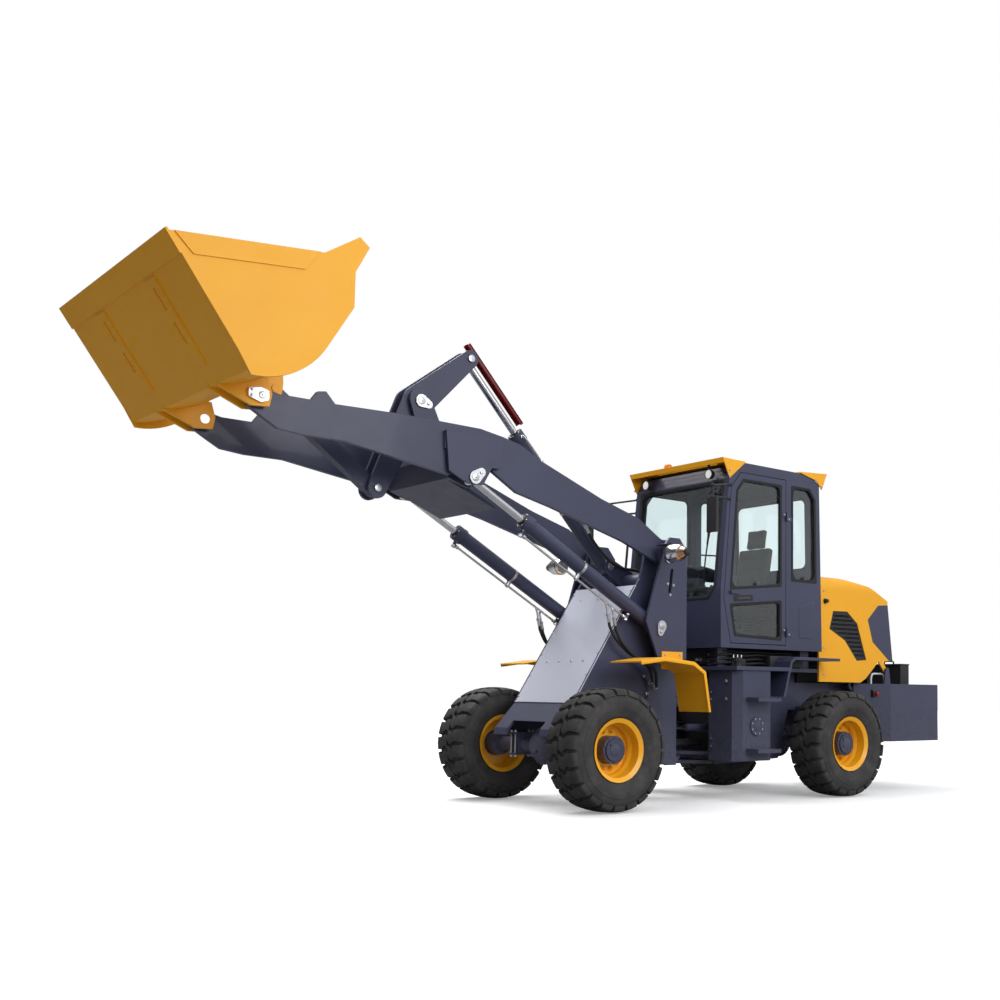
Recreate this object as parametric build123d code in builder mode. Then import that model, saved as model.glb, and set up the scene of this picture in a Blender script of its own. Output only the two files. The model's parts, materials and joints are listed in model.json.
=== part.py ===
from math import atan2, cos, hypot, pi, sin
import os

from build123d import *

# Articulated wheel loader, millimetres. +X is forward, +Y is the machine's left, +Z is up,
# and the ground is Z = 0. Stations called x are measured from the articulation pin.

# ---------------------------------------------------------------- driving dimensions
PIN_X = -1010                    # place of the articulation pin along X, which centres the machine
HALF_TRACK = 790
FRONT_AXLE_X = 1400
REAR_AXLE_X = -1420
TYRE_RADIUS = 492.5
TYRE_WIDTH = 385
RIM_RADIUS = 228.6               # 18 inch bead seat
RIM_FLANGE_RADIUS = 252
RUN_FIT = 0.05                   # radial clearance of a pin or rod that runs in its bore
MOVE_GAP = 6                     # clearance between neighbours that move past each other
SEAT_GAP = 0.3                   # a turning or resting piece lies this far from its seat

# side-view places (x, z) of the loader linkage
ARM_PIVOT = (553, 2145)
LIFT_BASE = (640, 1515)          # lift cylinder's base pin
LIFT_EYE = (2530, 2570)          # lift rod's eye on the arm
TILT_BASE = (800, 2050)          # tilt cylinder's base pin
ROCKER_TOP = (2280, 3630)
ROCKER_PIVOT = (2760, 3200)
ROCKER_FOOT = (3100, 2480)
LINK_EYE = (3945, 3105)          # link's eye on the bucket
BUCKET_PIN = (4260, 2915)

# lateral places
ARM_Y = 487.5                    # middle plane of a lift arm and its cylinder
ARM_THICK = 40
TOWER_GAP = 145                  # free width between a tower's two plates
INNER_PLATE = 25
PIN_RADIUS = 35
LOCK_PLATE = 14                  # teardrop plate that keeps a pin from turning

# wheels
CORNERS = (("front_left", FRONT_AXLE_X, 1), ("front_right", FRONT_AXLE_X, -1),
           ("rear_left", REAR_AXLE_X, 1), ("rear_right", REAR_AXLE_X, -1))
SIDES = (("left", 1), ("right", -1))


# ---------------------------------------------------------------- planes and simple forms
def side(y):
    """Side-view plane at y: local axes are x from the articulation pin and z."""
    return Plane(origin=(PIN_X, y, 0), x_dir=(1, 0, 0), z_dir=(0, -1, 0))


def level(z, x=0, y=0):
    """Horizontal plane at height z, its local origin at (x, y)."""
    return Plane(origin=(PIN_X + x, y, z), x_dir=(1, 0, 0), z_dir=(0, 0, 1))


def across(x, y=0, z=0):
    """Plane across the machine at x: local axes are y and z."""
    return Plane(origin=(PIN_X + x, y, z), x_dir=(0, 1, 0), z_dir=(1, 0, 0))


def plate(points, y0, y1, mode=Mode.ADD):
    """Flat plate of side-view outline points, standing from y0 to y1."""
    with BuildSketch(side(max(y0, y1))) as outline:
        with BuildLine():
            Polyline(*points, close=True)
        make_face()
    extrude(outline.sketch, amount=abs(y1 - y0), mode=mode)


def inset_plate(points, gap, y0, y1, mode=Mode.ADD):
    """Plate of side-view outline points drawn in by gap all round."""
    with BuildSketch(side(max(y0, y1))) as outline:
        with BuildLine():
            Polyline(*points, close=True)
        make_face()
        offset(amount=-gap, kind=Kind.INTERSECTION)
    extrude(outline.sketch, amount=abs(y1 - y0), mode=mode)


def slab(points, z0, z1, mode=Mode.ADD):
    """Flat plate of plan outline points (x, y), from z0 up to z1."""
    with BuildSketch(level(z0)) as outline:
        with BuildLine():
            Polyline(*points, close=True)
        make_face()
    extrude(outline.sketch, amount=z1 - z0, mode=mode)


def cross_bar(place, radius, y0, y1, mode=Mode.ADD):
    """Round bar along Y, centred on the side-view place."""
    with BuildSketch(side(max(y0, y1))) as outline:
        with Locations(place):
            Circle(radius)
    extrude(outline.sketch, amount=abs(y1 - y0), mode=mode)


def block(x0, x1, y0, y1, z0, z1, mode=Mode.ADD):
    """Box between the given stations."""
    with Locations(Location((PIN_X + (x0 + x1) / 2, (y0 + y1) / 2, (z0 + z1) / 2))):
        Box(abs(x1 - x0), abs(y1 - y0), abs(z1 - z0), mode=mode)


def along(start, end, y, offset=0):
    """Plane at start, square to the side-view line from start to end; its x is across the line."""
    dx = end[0] - start[0]
    dz = end[1] - start[1]
    run = hypot(dx, dz)
    ux, uz = dx / run, dz / run
    origin = (PIN_X + start[0] + ux * offset, y, start[1] + uz * offset)
    return Plane(origin=origin, x_dir=(0, 1, 0), z_dir=(ux, 0, uz))


def rod_between(start, end, y, radius, first, last, mode=Mode.ADD):
    """Round bar on the line from start to end, between two distances from start."""
    with BuildSketch(along(start, end, y, first)) as outline:
        Circle(radius)
    extrude(outline.sketch, amount=last - first, mode=mode)


def beside(start, end, offset):
    """The two side-view places moved square to their line, up for a positive offset."""
    run = hypot(end[0] - start[0], end[1] - start[1])
    ux, uz = (end[0] - start[0]) / run, (end[1] - start[1]) / run
    return tuple((x - uz * offset, z + ux * offset) for x, z in (start, end))


def bar_between(start, end, radius):
    """Round bar between two places (x, y, z)."""
    low = Vector(PIN_X + start[0], start[1], start[2])
    high = Vector(PIN_X + end[0], end[1], end[2])
    with BuildSketch(Plane(origin=low, z_dir=high - low)) as outline:
        Circle(radius)
    extrude(outline.sketch, amount=(high - low).length)


def strap(start, end, r0, r1, y0, y1, mode=Mode.ADD):
    """Plate with a round end at each of two side-view places, tapering between them."""
    cross_bar(start, r0, y0, y1, mode)
    cross_bar(end, r1, y0, y1, mode)
    dx = end[0] - start[0]
    dz = end[1] - start[1]
    run = hypot(dx, dz)
    lean = (r0 - r1) / run
    base = atan2(dz, dx)
    turn = pi / 2 - atan2(lean, (1 - lean * lean) ** 0.5)
    corners = []
    for place, radius, sign in ((start, r0, 1), (end, r1, 1), (end, r1, -1), (start, r0, -1)):
        angle = base + sign * turn
        corners.append((place[0] + radius * cos(angle), place[1] + radius * sin(angle)))
    plate(corners, y0, y1, mode)


def distance(a, b):
    return hypot(b[0] - a[0], b[1] - a[1])


def save(part, label):
    part.label = label
    export_step(part, "parts/" + label + ".step")


os.makedirs("parts", exist_ok=True)

# ---------------------------------------------------------------- wheels
LUG_COUNT = 22                   # lugs on each side of the tread
LUG_DEPTH = 24
FACES = 2 * LUG_COUNT            # flat faces round a tyre's casing
CARCASS_RADIUS = TYRE_RADIUS - LUG_DEPTH
HALF_WIDTH = TYRE_WIDTH / 2
SHOULDER = HALF_WIDTH - 26
FLANGE_Y = 140                   # outboard face of the rim's flange, from the wheel's middle
HUB_RADIUS = 112
HUB_BACK = 46                    # inboard face of the hub, from the wheel's middle

# casing rows: (distance from the tyre's middle plane, distance from the axle)
CROWN_ROWS = ((0, CARCASS_RADIUS), (SHOULDER, CARCASS_RADIUS - 8), (HALF_WIDTH - 4, CARCASS_RADIUS - 45),
              (HALF_WIDTH, RIM_RADIUS + 120))
BEAD_ROWS = ((112, RIM_RADIUS + SEAT_GAP), (120, RIM_RADIUS + 10), (152, RIM_RADIUS + 28),
             (HALF_WIDTH, RIM_RADIUS + 105))
# a lug's two edges run back from the middle of the tread to the shoulder and on over it:
# (distance from the tyre's middle plane, edge behind, edge ahead), measured round the crown
LUG_EDGES = ((-6, -30, 28), (78, -52, 16), (HALF_WIDTH - 6, -8, 60))
LUG_SET = 55                     # depth of a lug's root under the crown, which fills the shoulder


def casing_rows(rows, mode):
    """Stack of many-sided rings, lofted straight from row to row on both sides of the middle."""
    below = [(-y, radius) for y, radius in rows if y > 0]
    with BuildPart(mode=Mode.PRIVATE) as stack:
        for y, radius in sorted(below + list(rows)):
            with BuildSketch(Plane.XY.offset(y)):
                RegularPolygon(radius, FACES, major_radius=False)
        loft(ruled=True)
    add(stack.part, mode=mode)


def lug(hand):
    """One lug, as a flat-topped block whose outline follows its two edges."""
    reach = max(abs(edge) for y, behind, ahead in LUG_EDGES for edge in (behind, ahead))
    top = (TYRE_RADIUS ** 2 - reach ** 2) ** 0.5
    with BuildPart(mode=Mode.PRIVATE) as block_of_rubber:
        with BuildSketch(Plane(origin=(top, 0, 0), x_dir=(0, 0, 1), z_dir=(1, 0, 0))) as outline:
            with BuildLine():
                Polyline(*[(hand * y, behind) for y, behind, ahead in LUG_EDGES],
                         *[(hand * y, ahead) for y, behind, ahead in reversed(LUG_EDGES)], close=True)
            make_face()
        extrude(outline.sketch, amount=-LUG_DEPTH - LUG_SET)
    return block_of_rubber.part


with BuildPart() as casing:
    casing_rows(CROWN_ROWS, Mode.ADD)
    for hand, start in ((1, 0), (-1, 180 / LUG_COUNT)):
        with PolarLocations(0, LUG_COUNT, start_angle=start):
            add(lug(hand))
    casing_rows(BEAD_ROWS, Mode.SUBTRACT)


def wheel_plane(station, y):
    return Plane(origin=(PIN_X + station, y, TYRE_RADIUS), x_dir=(1, 0, 0), z_dir=(0, -1, 0))


for corner, station, hand in CORNERS:
    middle = hand * HALF_TRACK
    # profile columns: (distance from the axle, distance outboard of the wheel's middle)
    spin = Plane(origin=(PIN_X + station, middle, TYRE_RADIUS), x_dir=(0, 0, 1), z_dir=(1, 0, 0))
    with BuildPart() as tyre:
        with Locations(wheel_plane(station, middle).location):
            add(casing.part)
    save(tyre.part, "tyre_" + corner)

    with BuildPart() as wheel:
        with BuildSketch(spin) as section:
            with BuildLine():
                # barrel with its two flanges and drop centre; positive is outboard
                Polyline(
                    (RIM_RADIUS, -hand * 117),
                    (RIM_RADIUS, -hand * 60),
                    (RIM_RADIUS - 18, -hand * 30),
                    (RIM_RADIUS - 18, hand * 30),
                    (RIM_RADIUS, hand * 60),
                    (RIM_RADIUS, hand * 117),
                    (RIM_RADIUS + 8, hand * 124),
                    (RIM_FLANGE_RADIUS, hand * (FLANGE_Y + 17)),
                    (RIM_FLANGE_RADIUS, hand * (FLANGE_Y + 22)),
                    (RIM_RADIUS - 12, hand * (FLANGE_Y + 2)),
                    (RIM_RADIUS - 14, hand * 62),
                    (RIM_RADIUS - 32, hand * 34),
                    (RIM_RADIUS - 32, -hand * 34),
                    (RIM_RADIUS - 14, -hand * 62),
                    (RIM_RADIUS - 12, -hand * (FLANGE_Y + 2)),
                    (RIM_FLANGE_RADIUS, -hand * (FLANGE_Y + 22)),
                    (RIM_FLANGE_RADIUS, -hand * (FLANGE_Y + 17)),
                    (RIM_RADIUS + 8, -hand * 124),
                    close=True,
                )
            make_face()
        revolve(section.sketch, axis=Axis((PIN_X + station, middle, TYRE_RADIUS), (0, 1, 0)))
        # dished disc, planetary hub and its cap
        for radius, y0, y1 in ((RIM_RADIUS - 25, -20, 0), (HUB_RADIUS, -HUB_BACK, 96),
                               (HUB_RADIUS - 22, 96, 110)):
            near_face = middle + hand * y0
            far_face = middle + hand * y1
            with BuildSketch(wheel_plane(station, max(near_face, far_face))) as disc:
                Circle(radius)
            extrude(disc.sketch, amount=abs(far_face - near_face))
    save(wheel.part, "wheel_" + corner)

# ---------------------------------------------------------------- axles and drive line
AXLE_END = HALF_TRACK - HUB_BACK - SEAT_GAP
AXLE_TUBE_RADIUS = 62
FLANGE_RADIUS = 105
PAD_Z = TYRE_RADIUS + 90
PROP_RADIUS = 34
AXLE_NOSE = 270                  # end of an axle's drive flange, from its middle
PAD_Y = (300, 415)               # inner and outer face of an axle pad

for name, station, nose in (("front_axle", FRONT_AXLE_X, -1), ("rear_axle", REAR_AXLE_X, 1)):
    centre = (station, TYRE_RADIUS)
    with BuildPart() as axle:
        cross_bar(centre, AXLE_TUBE_RADIUS, -AXLE_END, AXLE_END)
        for face, sign in SIDES:
            cross_bar(centre, FLANGE_RADIUS, sign * (AXLE_END - 80), sign * AXLE_END)
            block(station - 75, station + 75, sign * PAD_Y[0], sign * PAD_Y[1],
                  TYRE_RADIUS - 70, PAD_Z)
        with Locations(Location((PIN_X + station, 0, TYRE_RADIUS))):
            Sphere(150)
        with BuildSketch(across(station + nose * 60, 0, TYRE_RADIUS)) as snout:
            Circle(95)
        extrude(snout.sketch, amount=nose * 170)
        with BuildSketch(across(station + nose * (AXLE_NOSE - 40), 0, TYRE_RADIUS)) as yoke:
            Circle(58)
        extrude(yoke.sketch, amount=nose * 40)
    save(axle.part, name)

GEARBOX_X = (-1020, -385)
SHAFTS = (("front_prop_shaft", FRONT_AXLE_X - AXLE_NOSE, 70),
          ("rear_prop_shaft", REAR_AXLE_X + AXLE_NOSE, GEARBOX_X[0]))
for name, start, end in SHAFTS:
    with BuildPart() as shaft:
        with BuildSketch(across(min(start, end), 0, TYRE_RADIUS)) as tube:
            Circle(PROP_RADIUS)
        extrude(tube.sketch, amount=abs(end - start))
    save(shaft.part, name)

with BuildPart() as gearbox:
    block(GEARBOX_X[0], GEARBOX_X[1], -200, 200, 400, 820)
    with BuildSketch(across(GEARBOX_X[1], 0, TYRE_RADIUS)) as output:
        Circle(PROP_RADIUS)
    extrude(output.sketch, amount=-70 - GEARBOX_X[1])
save(gearbox.part, "gearbox")

# ---------------------------------------------------------------- rear frame
RAIL_Y = (300, 330)              # inner and outer face of a side rail
RAIL_TOP = 1060
HINGE_PIN_RADIUS = 40
HINGE_LUGS = ((345, 385), (860, 900))     # heights of the front frame's two hinge lugs
HINGE_PLATE = 30
HINGE_LUG_GAP = 6

RAIL = ((-250, 310), (-250, 1000), (-400, RAIL_TOP), (-2500, RAIL_TOP), (-2500, 620),
        (-1700, 620), (-1600, 800), (-1240, 800), (-1100, 340), (-400, 310))

STEER_BASE = (-290, 225)         # steering cylinder's base pin, in plan, on the rear frame
STEER_EYE = (250, 260)           # and its rod's eye on the front frame
STEER_Z = 640
STEER_PIN_RADIUS = 15
STEER_EYE_HALF = 20


STEER_FORK = 15                  # thickness of a steering fork plate


def steer_fork(place, root_x, sign, pins):
    """Pair of plates that hold a steering cylinder's eye, reaching from root_x to the eye."""
    for low, high in ((-STEER_EYE_HALF - MOVE_GAP - STEER_FORK, -STEER_EYE_HALF - MOVE_GAP),
                      (STEER_EYE_HALF + MOVE_GAP, STEER_EYE_HALF + MOVE_GAP + STEER_FORK)):
        x, y = place
        slab(((x, sign * y - 32), (root_x, sign * y - 45), (root_x, sign * y + 45), (x, sign * y + 32)),
             STEER_Z + low, STEER_Z + high)
        with BuildSketch(level(STEER_Z + low, x, sign * y)) as end:
            Circle(32)
        extrude(end.sketch, amount=high - low)
    if pins:
        with BuildSketch(level(STEER_Z - STEER_EYE_HALF - MOVE_GAP, x, sign * y)) as pin:
            Circle(STEER_PIN_RADIUS)
        extrude(pin.sketch, amount=2 * (STEER_EYE_HALF + MOVE_GAP))


with BuildPart() as rear_frame:
    for face, sign in SIDES:
        plate(RAIL, sign * RAIL_Y[0], sign * RAIL_Y[1])
    # cross members: front wall, mid wall, tail
    block(-380, -350, -RAIL_Y[0], RAIL_Y[0], 590, 1000)
    block(-1120, -1090, -RAIL_Y[0], RAIL_Y[0], 840, 1040)
    block(-2500, -2470, -RAIL_Y[0], RAIL_Y[0], 640, 1040)
    # hinge lugs: a plate above and below each of the front frame's lugs
    for low, high in HINGE_LUGS:
        for z0 in (low - HINGE_LUG_GAP - HINGE_PLATE, high + HINGE_LUG_GAP):
            with BuildSketch(level(z0)) as lug:
                with BuildLine():
                    Polyline((-350, -RAIL_Y[0]), (-250, -RAIL_Y[0]), (-30, -90), (-30, 90),
                             (-250, RAIL_Y[0]), (-350, RAIL_Y[0]), close=True)
                make_face()
                Circle(100)
            extrude(lug.sketch, amount=HINGE_PLATE)
    # saddle over the rear axle
    for face, sign in SIDES:
        block(REAR_AXLE_X - 75, REAR_AXLE_X + 75, sign * RAIL_Y[0], sign * PAD_Y[1], PAD_Z, 830)
    for face, sign in SIDES:
        steer_fork(STEER_BASE, -360, sign, True)
    with BuildSketch(level(HINGE_LUGS[0][0] - 60)) as bore:
        Circle(HINGE_PIN_RADIUS)
    extrude(bore.sketch, amount=700, mode=Mode.SUBTRACT)
save(rear_frame.part, "rear_frame")

with BuildPart() as hinge_pins:
    for low, high in HINGE_LUGS:
        bottom = low - HINGE_LUG_GAP - HINGE_PLATE
        top = high + HINGE_LUG_GAP + HINGE_PLATE
        with BuildSketch(level(bottom)) as pin:
            Circle(HINGE_PIN_RADIUS)
        extrude(pin.sketch, amount=top - bottom)
        with BuildSketch(level(top)) as cap:
            Circle(HINGE_PIN_RADIUS + 25)
        extrude(cap.sketch, amount=12)
save(hinge_pins.part, "hinge_pins")

# counterweight: wide block behind the rear wheels, with cheeks beside the rails
WEIGHT_Y = 720
HOOD_HINGE = (-2450, 1200)
HOOD_PIN_RADIUS = 12
HOOD_Y = 560
HOOD_EAR_Y = HOOD_Y + MOVE_GAP
WEIGHT_Z = (490, 1060)
TAIL_X = -3100
LASHING = (-2040, 1050)
with BuildPart() as counterweight:
    slab(((-2505, -RAIL_Y[1]), (-2040, -RAIL_Y[1]), (-2040, -480), (-2320, -WEIGHT_Y), (TAIL_X, -WEIGHT_Y),
          (TAIL_X, WEIGHT_Y), (-2320, WEIGHT_Y), (-2040, 480), (-2040, RAIL_Y[1]), (-2505, RAIL_Y[1])),
         WEIGHT_Z[0], WEIGHT_Z[1])
    # ears and pins of the hood's hinge
    for face, sign in SIDES:
        x, z = HOOD_HINGE
        plate(((x - 50, WEIGHT_Z[1]), (x - 25, z + 15), (x + 25, z + 15), (x + 50, WEIGHT_Z[1])),
              sign * HOOD_EAR_Y, sign * (HOOD_EAR_Y + 16))
        cross_bar(HOOD_HINGE, 25, sign * HOOD_EAR_Y, sign * (HOOD_EAR_Y + 16))
        cross_bar(HOOD_HINGE, HOOD_PIN_RADIUS, sign * (HOOD_EAR_Y - 30), sign * HOOD_EAR_Y)
    # lashing lug with its hole at each front corner
    for face, sign in SIDES:
        strap(LASHING, (LASHING[0] - 90, LASHING[1] - 50), 58, 70, sign * 440, sign * 465)
        cross_bar(LASHING, 26, sign * 435, sign * 470, Mode.SUBTRACT)
    # tow jaw in the tail: a slot with an upright pin hole
    block(TAIL_X, TAIL_X + 160, -90, 90, 700, 790, mode=Mode.SUBTRACT)
    with BuildSketch(level(WEIGHT_Z[0], TAIL_X + 80)) as bore:
        Circle(20)
    extrude(bore.sketch, amount=WEIGHT_Z[1] - WEIGHT_Z[0], mode=Mode.SUBTRACT)
save(counterweight.part, "counterweight")

with BuildPart() as battery_box:
    block(-2910, -2770, -500, 500, WEIGHT_Z[1], 1265)
save(battery_box.part, "battery_box")

with BuildPart() as engine:
    block(-2200, -1440, -270, 270, 830, 1600)
    for x in (-2100, -1560):
        block(x - 60, x + 60, -RAIL_Y[0], RAIL_Y[0], 900, 960)
save(engine.part, "engine")

with BuildPart() as radiator:
    block(-2400, -2320, -430, 430, RAIL_TOP, 1800)
save(radiator.part, "radiator")

# ---------------------------------------------------------------- tanks, steps and deck
TANK_X = (-510, -90)
TANK_Y = (420, 780)
TANK_Z = (355, 1155)
TANK_CUT = 70                    # bevel down the tank's front outer corner
TANK_COVER = (-330, 660)
STEP_Z = (445, 895)
DECK_Z = (1155, 1190)
DECK_Y = 800
CAB_Z = 1355
TANK_NAMES = {"left": "fuel_tank", "right": "hydraulic_tank"}
for face, sign in SIDES:
    with BuildPart() as tank:
        rear, front = TANK_X
        inner, outer = sign * TANK_Y[0], sign * TANK_Y[1]
        slab(((rear, inner), (front, inner), (front, outer - sign * TANK_CUT), (front - TANK_CUT, outer),
              (rear, outer)), *TANK_Z)
        block(TANK_X[0], TANK_X[0] + 120, sign * RAIL_Y[1], sign * TANK_Y[0], 420, 1000)
        for z in STEP_Z:
            block(TANK_X[0] + 20, TANK_X[1] - 110, sign * TANK_Y[1], sign * 930, z - 15, z + 15)
        # round cover bolted over the tank's cleaning hole
        cross_bar(TANK_COVER, 82, sign * TANK_Y[1], sign * (TANK_Y[1] + 12))
    save(tank.part, TANK_NAMES[face])

MUDGUARD = ((-690, 925), (-785, 1235), (-830, 1262), (-1450, 1262), (-1450, 1288), (-815, 1288),
            (-762, 1248), (-664, 925))
with BuildPart() as deck:
    slab(((-60, -DECK_Y), (-60, DECK_Y), (-775, DECK_Y), (-775, 560), (-1400, 560),
          (-1400, -560), (-775, -560), (-775, -DECK_Y)), *DECK_Z)
    for face, sign in SIDES:
        plate(MUDGUARD, sign * 575, sign * DECK_Y)
        for x in (-180, -1280):
            block(x - 60, x + 60, sign * 380, sign * 500, DECK_Z[1], CAB_Z)
        for x in (-460, -1280):
            block(x - 50, x + 50, sign * RAIL_Y[0], sign * RAIL_Y[1], RAIL_TOP, DECK_Z[0])
save(deck.part, "deck")

# ---------------------------------------------------------------- cab
CAB_Y = 630
WALL = 40
PANE = 6
ROOF_Z = 2965
ROOF_TOP = 3040
CAB_OUT = ((-30, CAB_Z), (-24, 1870), (-125, 2880), (-190, 3000), (-300, ROOF_TOP), (-1230, 3035),
           (-1345, 2950), (-1385, CAB_Z))
CAB_IN = ((-70, CAB_Z + WALL), (-66, 1870), (-166, 2870), (-215, 2960), (-305, 3000), (-1215, 2995),
          (-1307, 2930), (-1345, CAB_Z + WALL))
DOORWAY = ((-150, 1395), (-62, 1790), (-150, 2800), (-270, 2950), (-880, 2950), (-880, 1395))
UPPER_WINDOW = ((-150, 1885), (-228, 2780), (-310, 2885), (-810, 2885), (-810, 1950))
LOWER_WINDOW = ((-205, 1470), (-150, 1740), (-810, 1805), (-810, 1450))
QUARTER_WINDOW = ((-960, 2010), (-960, 2895), (-1210, 2895), (-1285, 2800), (-1300, 2010))
WINDSCREEN = ((-560, 1900), (-470, 1800), (470, 1800), (560, 1900), (560, 2860), (-560, 2860))
REAR_WINDOW = ((-470, 2150), (470, 2150), (470, 2850), (-470, 2850))


def front_cut(points, x0, x1, mode):
    """Plate of outline points (y, z) standing across the machine from x0 to x1."""
    with BuildSketch(across(min(x0, x1))) as outline:
        with BuildLine():
            Polyline(*points, close=True)
        make_face()
    extrude(outline.sketch, amount=abs(x1 - x0), mode=mode)


DOOR_HINGE = (-880, CAB_Y + 13)
KNUCKLE_Z = (1480, 2560)


def knuckle(sign, z0, z1, radius, mode=Mode.ADD):
    """Upright barrel of a door hinge."""
    with BuildSketch(level(z0, DOOR_HINGE[0], sign * DOOR_HINGE[1])) as barrel:
        Circle(radius)
    extrude(barrel.sketch, amount=z1 - z0, mode=mode)


with BuildPart() as cab_frame:
    plate(CAB_OUT, -CAB_Y, CAB_Y)
    plate(CAB_IN, -CAB_Y + WALL, CAB_Y - WALL, mode=Mode.SUBTRACT)
    block(-1500, 100, -CAB_Y - 10, CAB_Y + 10, ROOF_Z, ROOF_TOP + 60, mode=Mode.SUBTRACT)
    plate(DOORWAY, -CAB_Y - 10, CAB_Y + 10, mode=Mode.SUBTRACT)
    plate(QUARTER_WINDOW, -CAB_Y - 10, CAB_Y + 10, mode=Mode.SUBTRACT)
    front_cut(WINDSCREEN, -250, 20, Mode.SUBTRACT)
    front_cut(REAR_WINDOW, -1420, -1300, Mode.SUBTRACT)
    for face, sign in SIDES:
        for z in KNUCKLE_Z:
            block(-960, DOOR_HINGE[0], sign * CAB_Y, sign * (CAB_Y + 5), z, z + 40)
            knuckle(sign, z, z + 40, 12)
            knuckle(sign, z + 40, z + 78, 6)
save(cab_frame.part, "cab_frame")

with BuildPart() as cab_roof:
    plate(CAB_OUT, -CAB_Y, CAB_Y)
    plate(CAB_IN, -CAB_Y + WALL, CAB_Y - WALL, mode=Mode.SUBTRACT)
    block(-1500, 100, -CAB_Y - 10, CAB_Y + 10, CAB_Z - 10, ROOF_Z, mode=Mode.SUBTRACT)
save(cab_roof.part, "cab_roof")

GLASS_FRONT = ((-48, 1800), (-48, 1870), (-147, 2860), (-153, 2860), (-54, 1870), (-54, 1800))
with BuildPart() as cab_glass:
    plate(GLASS_FRONT, -560, 560)
    front_cut(WINDSCREEN, -250, 20, Mode.INTERSECT)
    front_cut(REAR_WINDOW, -1368, -1362, Mode.ADD)
    for face, sign in SIDES:
        plate(QUARTER_WINDOW, sign * 605, sign * 611)
save(cab_glass.part, "cab_glass")

for face, sign in SIDES:
    with BuildPart() as door:
        inset_plate(DOORWAY, MOVE_GAP, sign * (CAB_Y - WALL), sign * CAB_Y)
        plate(UPPER_WINDOW, sign * (CAB_Y - WALL - 5), sign * (CAB_Y + 5), mode=Mode.SUBTRACT)
        plate(LOWER_WINDOW, sign * (CAB_Y - WALL - 5), sign * (CAB_Y + 5), mode=Mode.SUBTRACT)
        # handle bar near the front edge
        block(-260, -140, sign * CAB_Y, sign * (CAB_Y + 22), 1838, 1866)
        for z in KNUCKLE_Z:
            low = z + 40 + SEAT_GAP
            block(DOOR_HINGE[0] + 6, -820, sign * (CAB_Y - 1), sign * (CAB_Y + 5), low, low + 38)
            knuckle(sign, low, low + 38, 12)
            knuckle(sign, low - 1, low + 39, 6 + RUN_FIT, Mode.SUBTRACT)
    save(door.part, "door_" + face)
    with BuildPart() as panes:
        plate(UPPER_WINDOW, sign * 607, sign * 613)
        plate(LOWER_WINDOW, sign * 607, sign * 613)
    save(panes.part, "door_glass_" + face)

VISOR_Z = ROOF_TOP + 15
VISOR_FRONT = ((-33, VISOR_Z), (-126, 2878), (-150, 2900), (-330, ROOF_TOP + 6))
VISOR_REAR = ((-1070, ROOF_TOP), (-1450, VISOR_Z + 20), (-1376, 2911), (-1300, 2990))
SLAT_Y = 400                     # half length of the front visor's slots
with BuildPart() as visors:
    for face, sign in SIDES:
        plate(VISOR_FRONT, sign * CAB_Y, sign * (CAB_Y + 10))
        plate(VISOR_REAR, sign * CAB_Y, sign * (CAB_Y + 10))
    plate(((-33, VISOR_Z), (-45, ROOF_TOP - 30), (-57, ROOF_TOP - 26), (-47, VISOR_Z - 10),
           (-330, ROOF_TOP), (-330, VISOR_Z - 3)), -CAB_Y, CAB_Y)
    plate(((-1070, VISOR_Z - 3), (-1450, VISOR_Z + 20), (-1446, VISOR_Z + 8), (-1250, ROOF_TOP),
           (-1070, ROOF_TOP - 2)), -CAB_Y, CAB_Y)
    for x in (-75, -113, -151, -189):
        block(x - 22, x, -SLAT_Y, SLAT_Y, VISOR_Z - 25, VISOR_Z + 5, mode=Mode.SUBTRACT)
save(visors.part, "roof_visors")

BEACON_SEAT = 3053.6             # visor's top under the beacon
LAMP_HANGER = 3044               # visor's underside over a lamp
with BuildPart() as cab_lamps:
    for y in (-430, 430):
        with BuildSketch(across(-118, y, 2930)) as lamp:
            Circle(45)
        extrude(lamp.sketch, amount=60)
        block(-72, -58, y - 15, y + 15, 2965, LAMP_HANGER)
    with BuildSketch(level(BEACON_SEAT, -260, -330)) as beacon:
        Circle(45)
    extrude(beacon.sketch, amount=95)
save(cab_lamps.part, "cab_lamps")

# a mirror on each side hangs on two bars from the cab's front pillar
MIRROR = (300, 855, 2480)
MIRROR_SIZE = (40, 130, 300)
MIRROR_BARS = (((-135, 2820), 2735), ((-123, 2690), 2640))   # foot on the pillar, height at the mirror
BAR_RADIUS = 9
POST_RADIUS = 12                 # upright between a mirror and its two bars
FOOT = 13                        # half width and thickness of a bar's foot
with BuildPart() as mirrors:
    for face, sign in SIDES:
        with BuildSketch(level(MIRROR[2] - MIRROR_SIZE[2] / 2, MIRROR[0], sign * MIRROR[1])) as shape:
            RectangleRounded(MIRROR_SIZE[0], MIRROR_SIZE[1], 18)
        extrude(shape.sketch, amount=MIRROR_SIZE[2])
save(mirrors.part, "mirrors")

with BuildPart() as mirror_bars:
    for face, sign in SIDES:
        for (x, z), height in MIRROR_BARS:
            block(x - FOOT, x + FOOT, sign * CAB_Y, sign * (CAB_Y + FOOT), z - FOOT, z + FOOT)
            bar_between((x, sign * (CAB_Y + FOOT), z), (MIRROR[0], sign * MIRROR[1], height), BAR_RADIUS)
        bar_between((MIRROR[0], sign * MIRROR[1], MIRROR[2] + MIRROR_SIZE[2] / 2),
                    (MIRROR[0], sign * MIRROR[1], MIRROR_BARS[0][1] + 2 * BAR_RADIUS), POST_RADIUS)
save(mirror_bars.part, "mirror_bars")

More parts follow.
